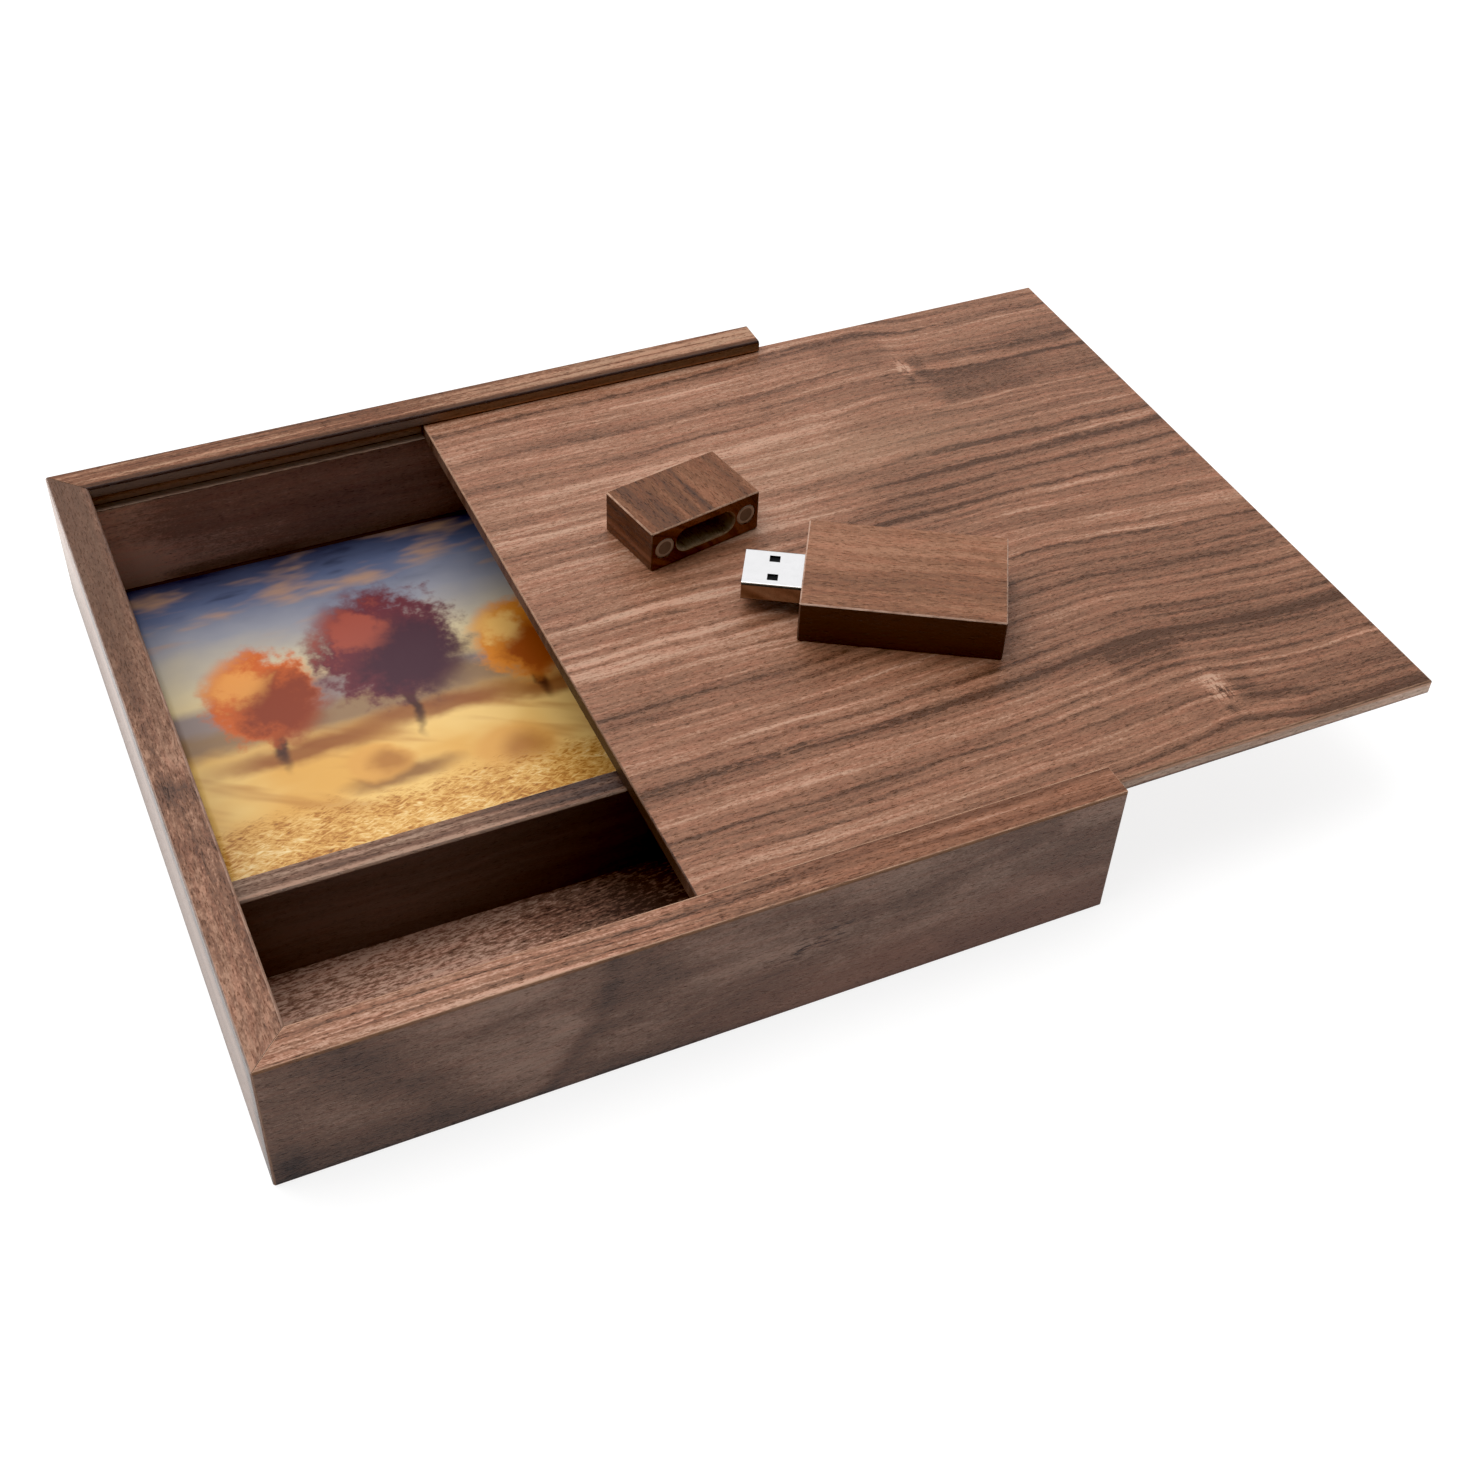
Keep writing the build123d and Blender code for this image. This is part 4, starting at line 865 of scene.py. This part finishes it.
disc_magnets("drive_magnets", "drive_magnet_discs", "drive", tuple(-c for c in DRIVE_U))
disc_magnets("cap_magnets", "cap_magnet_discs", "cap", tuple(-c for c in CAP_U))

# ---------------------------------------------------------------- the prints
PRINT_LO, PRINT_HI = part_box("top_print")


def picture():
    """A generic autumn landscape: dusk sky, far hills, round trees, stubble and straw bales, all softly out of focus."""
    g = Graph("print_picture")
    w, h = (PRINT_HI.x - PRINT_LO.x) * 1000, (PRINT_HI.y - PRINT_LO.y) * 1000
    U, V, W = g.coords((PRINT_LO.x * 1000, PRINT_LO.y * 1000, 0.0), X, Y, Z)
    k = 0.70
    n1 = g.noise(U * 0.03, V * 0.05, 0.0, 3.0, 0.5, seed=1.0)
    n2 = g.noise(U * 0.08, V * 0.11, 0.0, 3.0, 0.55, seed=2.0)
    x = U + (n2 - 0.5) * 8.0
    y = V + (n2 - 0.5) * 6.0
    # sky, from the horizon up
    t = g.step(y + (n1 - 0.5) * 18.0, 46.0, 104.0, 0.0, 1.0, False)
    col = g.ramp(t, [(0.0, lin(236, 206, 140, k)), (0.30, lin(214, 196, 158, k)), (0.55, lin(150, 150, 160, k)),
                     (0.78, lin(92, 102, 134, k)), (1.0, lin(38, 38, 66, k))])
    cloud = g.noise(U * 0.035, V * 0.13, 3.0, 3.0, 0.55, seed=5.0)
    col = g.mix(g.step(cloud, 0.50, 0.66) * g.step(y, 70.0, 84.0) * 0.7, col, lin(196, 150, 112, k))
    col = g.mix(g.step(cloud, 0.46, 0.34) * g.step(y, 80.0, 94.0) * 0.8, col, lin(26, 26, 48, k))

    def over(col, mask_, colour, amount=1.0):
        return g.mix(mask_ * amount, col, colour)

    # two lines of hills
    ridge = g.noise(U * 0.022, 7.0, 0.0, 2.0, 0.5, seed=6.0) * 34.0 + 40.0
    col = over(col, g.step(y - ridge, 2.5, -2.5, 0.0, 1.0), lin(126, 112, 122, k), 0.85)
    ridge2 = g.noise(U * 0.028, 9.0, 0.0, 2.0, 0.5, seed=7.0) * 30.0 + 34.0
    col = over(col, g.step(y - ridge2, 2.0, -2.0, 0.0, 1.0), lin(150, 118, 84, k), 0.9)
    # the field
    field = g.step(y + (n1 - 0.5) * 10.0, 44.0, 38.0, 0.0, 1.0)
    gold_ = g.mix(g.step(n1, 0.35, 0.65), lin(226, 172, 88, k), lin(240, 200, 124, k))
    furrow = g.noise(U * 0.10 + V * 0.16, V * 0.05 - U * 0.01, 4.0, 2.0, 0.5, seed=8.0)
    gold_ = g.mix(g.step(furrow, 0.50, 0.70) * 0.55, gold_, lin(176, 112, 48, k))
    col = over(col, field, gold_)

    def blob(cx, cy, rx, ry, soft=0.35):
        dx = (x - cx) * (1.0 / rx)
        dy = (y - cy) * (1.0 / ry)
        return g.step(g.m("SQRT", dx * dx + dy * dy), 1.0 - soft, 1.0 + soft, 1.0, 0.0)

    leaf = g.noise(U * 0.22, V * 0.22, 5.0, 3.0, 0.62, seed=15.0)

    # round trees, rust and plum, with their shade
    for cx, cy, rx, ry, c1, c2, c3 in ((20.0, 56.0, 12.0, 15.0, (206, 98, 34), (124, 44, 18), (240, 168, 84)),
                                       (50.0, 63.0, 16.0, 19.0, (104, 40, 50), (58, 20, 40), (176, 84, 62)),
                                       (79.0, 54.0, 10.0, 13.0, (224, 138, 48), (150, 66, 22), (250, 204, 120)),
                                       (106.0, 60.0, 15.0, 17.0, (192, 82, 30), (104, 36, 18), (236, 150, 70)),
                                       (136.0, 56.0, 12.0, 14.0, (116, 54, 52), (70, 26, 38), (186, 104, 70))):
        lx = (leaf - 0.5) * (rx * 1.1)
        col = over(col, blob(cx + 5, cy - ry - 5.0, rx * 1.5, 2.8, 0.6), lin(136, 70, 28, k), 0.85)
        col = over(col, blob(cx, cy - ry * 0.95, 1.5, ry * 0.55, 0.5), lin(62, 28, 18, k), 0.95)

        def crown(px, py, a, b, soft):
            dx = (x + lx - px) * (1.0 / a)
            dy = (y + lx - py) * (1.0 / b)
            return g.step(g.m("SQRT", dx * dx + dy * dy), 1.0 - soft, 1.0 + soft, 1.0, 0.0)

        col = over(col, crown(cx, cy, rx, ry, 0.22), lin(*c1, k), 1.0)
        col = over(col, crown(cx + rx * 0.28, cy - ry * 0.28, rx * 0.75, ry * 0.7, 0.45), lin(*c2, k), 0.9)
        col = over(col, crown(cx - rx * 0.34, cy + ry * 0.36, rx * 0.46, ry * 0.4, 0.55), lin(*c3, k), 0.75)
    # straw bales
    for cx, cy, r_ in ((38.0, 27.0, 7.0), (66.0, 20.0, 9.0), (118.0, 24.0, 8.0)):
        col = over(col, blob(cx + 3, cy - r_ * 0.8, r_ * 1.5, r_ * 0.35, 0.6), lin(120, 66, 30, k), 0.8)
        col = over(col, blob(cx, cy, r_, r_ * 0.85, 0.22), lin(222, 164, 84, k), 0.95)
        col = over(col, blob(cx + r_ * 0.25, cy - r_ * 0.1, r_ * 0.55, r_ * 0.55, 0.6), lin(168, 108, 48, k), 0.8)
    # loose straw, in focus along the near edge
    sa = g.noise(U * 0.30 + V * 0.40, V * 1.5 - U * 0.55, 2.0, 3.0, 0.62, 0.5, seed=9.0)
    sb = g.noise(U * 0.32 - V * 0.36, V * 1.4 + U * 0.60, 2.0, 3.0, 0.62, 0.5, seed=9.6)
    clump = g.noise(U * 0.10, V * 0.18, 2.0, 3.0, 0.6, 0.4, seed=9.9)
    st = g.m("MAXIMUM", sa, sb) * 0.85 + clump * 0.38 - 0.12
    near = g.step(V + (n1 - 0.5) * 10.0 + (st - 0.5) * 14.0, 21.0, 14.0, 0.0, 1.0)
    straw = g.ramp(st, [(0.30, lin(96, 52, 18, k)), (0.45, lin(186, 124, 50, k)), (0.56, lin(226, 176, 96, k)), (0.72, lin(250, 224, 168, k))])
    col = over(col, near, straw)
    g.set(Base_Color=col, Specular_IOR_Level=0.18)
    g.put(g.bsdf.inputs["Roughness"], g.m("ADD", 0.34, (g.noise(U * 0.5, V * 0.5, 0.0, 2.0, seed=10.0) - 0.5) * 0.08))
    g.bump(g.noise(U * 0.5, V * 0.5, 0.0, 2.0, seed=12.0), 0.000004)
    return g.mat


def paper():
    g = Graph("print_paper")
    U, V, W = g.coords((0, 0, 0), X, Y, Z)
    n = g.noise(U * 0.5, V * 0.5, W * 6.0, 3.0, 0.6, seed=3.0)
    g.set(Base_Color=g.mix(g.step(n, 0.3, 0.7) * 0.5, lin(226, 222, 212, 0.9), lin(202, 196, 184, 0.9)))
    g.put(g.bsdf.inputs["Roughness"], g.m("ADD", 0.42, n * 0.1))
    g.bump(n, 0.00001)
    return g.mat


paper_mat, picture_mat = paper(), picture()


def sheet_piece(name, node, top, lift, flip=0):
    """One print: a thin sheet with a soft lie, its corners lifted a little."""
    lo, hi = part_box(node)
    nx, ny = 76, 52
    bm = bmesh.new()
    grid = [[None] * (ny + 1) for _ in range(nx + 1)]
    for i in range(nx + 1):
        for j in range(ny + 1):
            a, b = i / nx, j / ny
            x_, y_ = lo.x + (hi.x - lo.x) * a, lo.y + (hi.y - lo.y) * b
            ca, cb = 2 * a - 1, 2 * b - 1
            z_ = lift * (0.55 * ca * ca * abs(ca) + 0.30 * max(0.0, -ca) ** 4 * max(0.0, -cb) ** 3 + 0.35 * max(0.0, ca) ** 3 * max(0.0, cb) ** 3)
            grid[i][j] = bm.verts.new((x_, y_, hi.z + z_ * MM))
    for i in range(nx):
        for j in range(ny):
            f = bm.faces.new((grid[i][j], grid[i + 1][j], grid[i + 1][j + 1], grid[i][j + 1]))
            f.smooth = True
    me = bpy.data.meshes.new(name)
    bm.to_mesh(me)
    bm.free()
    me.materials.append(top)
    me.materials.append(paper_mat)
    ob = bpy.data.objects.new(name, me)
    bpy.context.scene.collection.objects.link(ob)
    so = ob.modifiers.new("thickness", "SOLIDIFY")
    so.thickness = 0.24 * MM
    so.offset = -1.0
    so.material_offset = 1
    so.material_offset_rim = 1
    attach(ob, "box")
    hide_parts(node)
    return ob


sheet_piece("print_on_top", "top_print", picture_mat, 0.45)
dress("lower_prints", paper_mat, smooth=False)
under = nodes["lower_prints"].data
under.materials.append(picture_mat)
for p in under.polygons:
    p.material_index = 1 if p.normal.z > 0.9 else 0

# ---------------------------------------------------------------- floor, light and camera
def flat(name, colour, rough):
    g = Graph(name)
    U, V, W = g.coords((0, 0, 0), X, Y, Z)
    n = g.noise(U * 0.01, V * 0.01, 0.0, 2.0, seed=1.0)
    g.set(Base_Color=g.mix(n * 0.06, colour, tuple(c * 0.97 for c in colour[:3]) + (1,)), Specular_IOR_Level=0.1)
    g.put(g.bsdf.inputs["Roughness"], g.m("ADD", rough, n * 0.02))
    return g.mat


bm = bmesh.new()
bmesh.ops.create_circle(bm, cap_ends=True, segments=96, radius=8.0)
me = bpy.data.meshes.new("floor")
bm.to_mesh(me)
bm.free()
floor = bpy.data.objects.new("floor", me)
floor.location = (0, 0, -0.00005)
bpy.context.scene.collection.objects.link(floor)
floor_mat = flat("floor_white", (0.20, 0.20, 0.20, 1), 0.9)
fg = floor_mat.node_tree
fb = fg.nodes["Principled BSDF"]
fb.inputs["Emission Color"].default_value = (1, 1, 1, 1)
ftc = fg.nodes.new("ShaderNodeTexCoord")
fsep = fg.nodes.new("ShaderNodeSeparateXYZ")
fg.links.new(ftc.outputs["Object"], fsep.inputs[0])
fmap = fg.nodes.new("ShaderNodeMapRange")
fmap.interpolation_type = "SMOOTHSTEP"
for i, v in zip((1, 2, 3, 4), (-0.085, -0.125, 0.75, 2.2)):
    fmap.inputs[i].default_value = v
fg.links.new(fsep.outputs["X"], fmap.inputs[0])
fback = fg.nodes.new("ShaderNodeMapRange")
for i, v in zip((1, 2, 3, 4), (-0.10, 0.06, 0.25, 1.3)):
    fback.inputs[i].default_value = v
fg.links.new(fsep.outputs["Y"], fback.inputs[0])
fsum = fg.nodes.new("ShaderNodeMath")
fsum.operation = "MULTIPLY_ADD"
fsum.inputs[2].default_value = 0.84
fmap.inputs[3].default_value = 0.0
fmap.inputs[4].default_value = 1.7
fg.links.new(fmap.outputs[0], fsum.inputs[0])
fg.links.new(fback.outputs[0], fsum.inputs[1])
fg.links.new(fsum.outputs[0], fb.inputs["Emission Strength"])   # the floor glows: painted light, even at 0.84 and stronger to the left and behind the box
me.materials.append(floor_mat)

world = bpy.data.worlds.new("studio")
bpy.context.scene.world = world
world.use_nodes = True
wt = world.node_tree
wt.nodes.clear()
wo = wt.nodes.new("ShaderNodeOutputWorld")
tc = wt.nodes.new("ShaderNodeTexCoord")
sep = wt.nodes.new("ShaderNodeSeparateXYZ")
wt.links.new(tc.outputs["Generated"], sep.inputs[0])


def wmath(op, a, b, c=None):
    n = wt.nodes.new("ShaderNodeMath")
    n.operation = op
    for i, v in enumerate((a, b, c)):
        if v is None:
            continue
        if isinstance(v, (int, float)):
            n.inputs[i].default_value = v
        else:
            wt.links.new(v, n.inputs[i])
    return n.outputs[0]


def wstep(x, lo, hi, a, b):
    n = wt.nodes.new("ShaderNodeMapRange")
    n.interpolation_type = "SMOOTHSTEP"
    wt.links.new(x, n.inputs[0])
    for i, v in zip((1, 2, 3, 4), (lo, hi, a, b)):
        n.inputs[i].default_value = v
    return n.outputs[0]


# bright overhead and behind, nearly dark in front
up = wstep(sep.outputs["Z"], -0.05, 0.55, 0.35, 1.0)
rear = wstep(sep.outputs["Y"], -0.40, 0.20, 0.06, 1.0)
side = wstep(sep.outputs["X"], -1.0, 1.0, 1.12, 0.88)
level = wmath("MULTIPLY", wmath("MULTIPLY", wmath("MULTIPLY", up, rear), side), 1.8)
bg = wt.nodes.new("ShaderNodeBackground")
bg.inputs[0].default_value = (1.0, 0.995, 0.985, 1)
wt.links.new(level, bg.inputs[1])
plain = wt.nodes.new("ShaderNodeBackground")
plain.inputs[0].default_value = (1, 1, 1, 1)
plain.inputs[1].default_value = 1.0
lp = wt.nodes.new("ShaderNodeLightPath")
mx = wt.nodes.new("ShaderNodeMixShader")
wt.links.new(lp.outputs["Is Camera Ray"], mx.inputs[0])
wt.links.new(bg.outputs[0], mx.inputs[1])
wt.links.new(plain.outputs[0], mx.inputs[2])
wt.links.new(mx.outputs[0], wo.inputs[0])


def area(name, at, to, size, power, colour=(1, 1, 1)):
    d = bpy.data.lights.new(name, "AREA")
    d.shape = "RECTANGLE"
    d.size, d.size_y = size
    d.energy = power
    d.color = colour
    o = bpy.data.objects.new(name, d)
    o.location = at
    o.rotation_euler = (Vector(to) - Vector(at)).to_track_quat("-Z", "Y").to_euler()
    bpy.context.scene.collection.objects.link(o)
    return o


area("softbox_overhead", (-0.12, 0.30, 1.10), (0.0, 0.02, 0.02), (1.1, 0.9), 10.5)

# The camera, worked out from the box's corners: place and axes in the row frame.
cam_data = bpy.data.cameras.new("camera")
cam_data.sensor_width = 36.0
cam_data.lens = 48.81
cam = bpy.data.objects.new("camera", cam_data)
right = Vector((0.90910609, -0.41479888, 0.0383147))
down = Vector((-0.2625657, -0.64199767, -0.72034592))
ahead = Vector((0.32339662, 0.64481073, -0.69255595))
m = Matrix((right, -down, -ahead)).transposed().to_4x4()
m.translation = Vector((-18.82812249 - 86.0, -209.46773067 - 88.5, 304.56130413)) * MM
cam.matrix_world = m
cam_data.clip_start, cam_data.clip_end = 0.01, 50.0
bpy.context.scene.collection.objects.link(cam)
bpy.context.scene.camera = cam

scene = bpy.context.scene
scene.view_settings.view_transform = "Standard"
scene.view_settings.look = "None"
scene.view_settings.exposure = 0.0
scene.view_settings.gamma = 1.0
# deep shadows close up a little, as in a retouched product picture
scene.view_settings.use_curve_mapping = True
scene.view_settings.curve_mapping.black_level = (0.004, 0.004, 0.004)
scene.view_settings.curve_mapping.update()
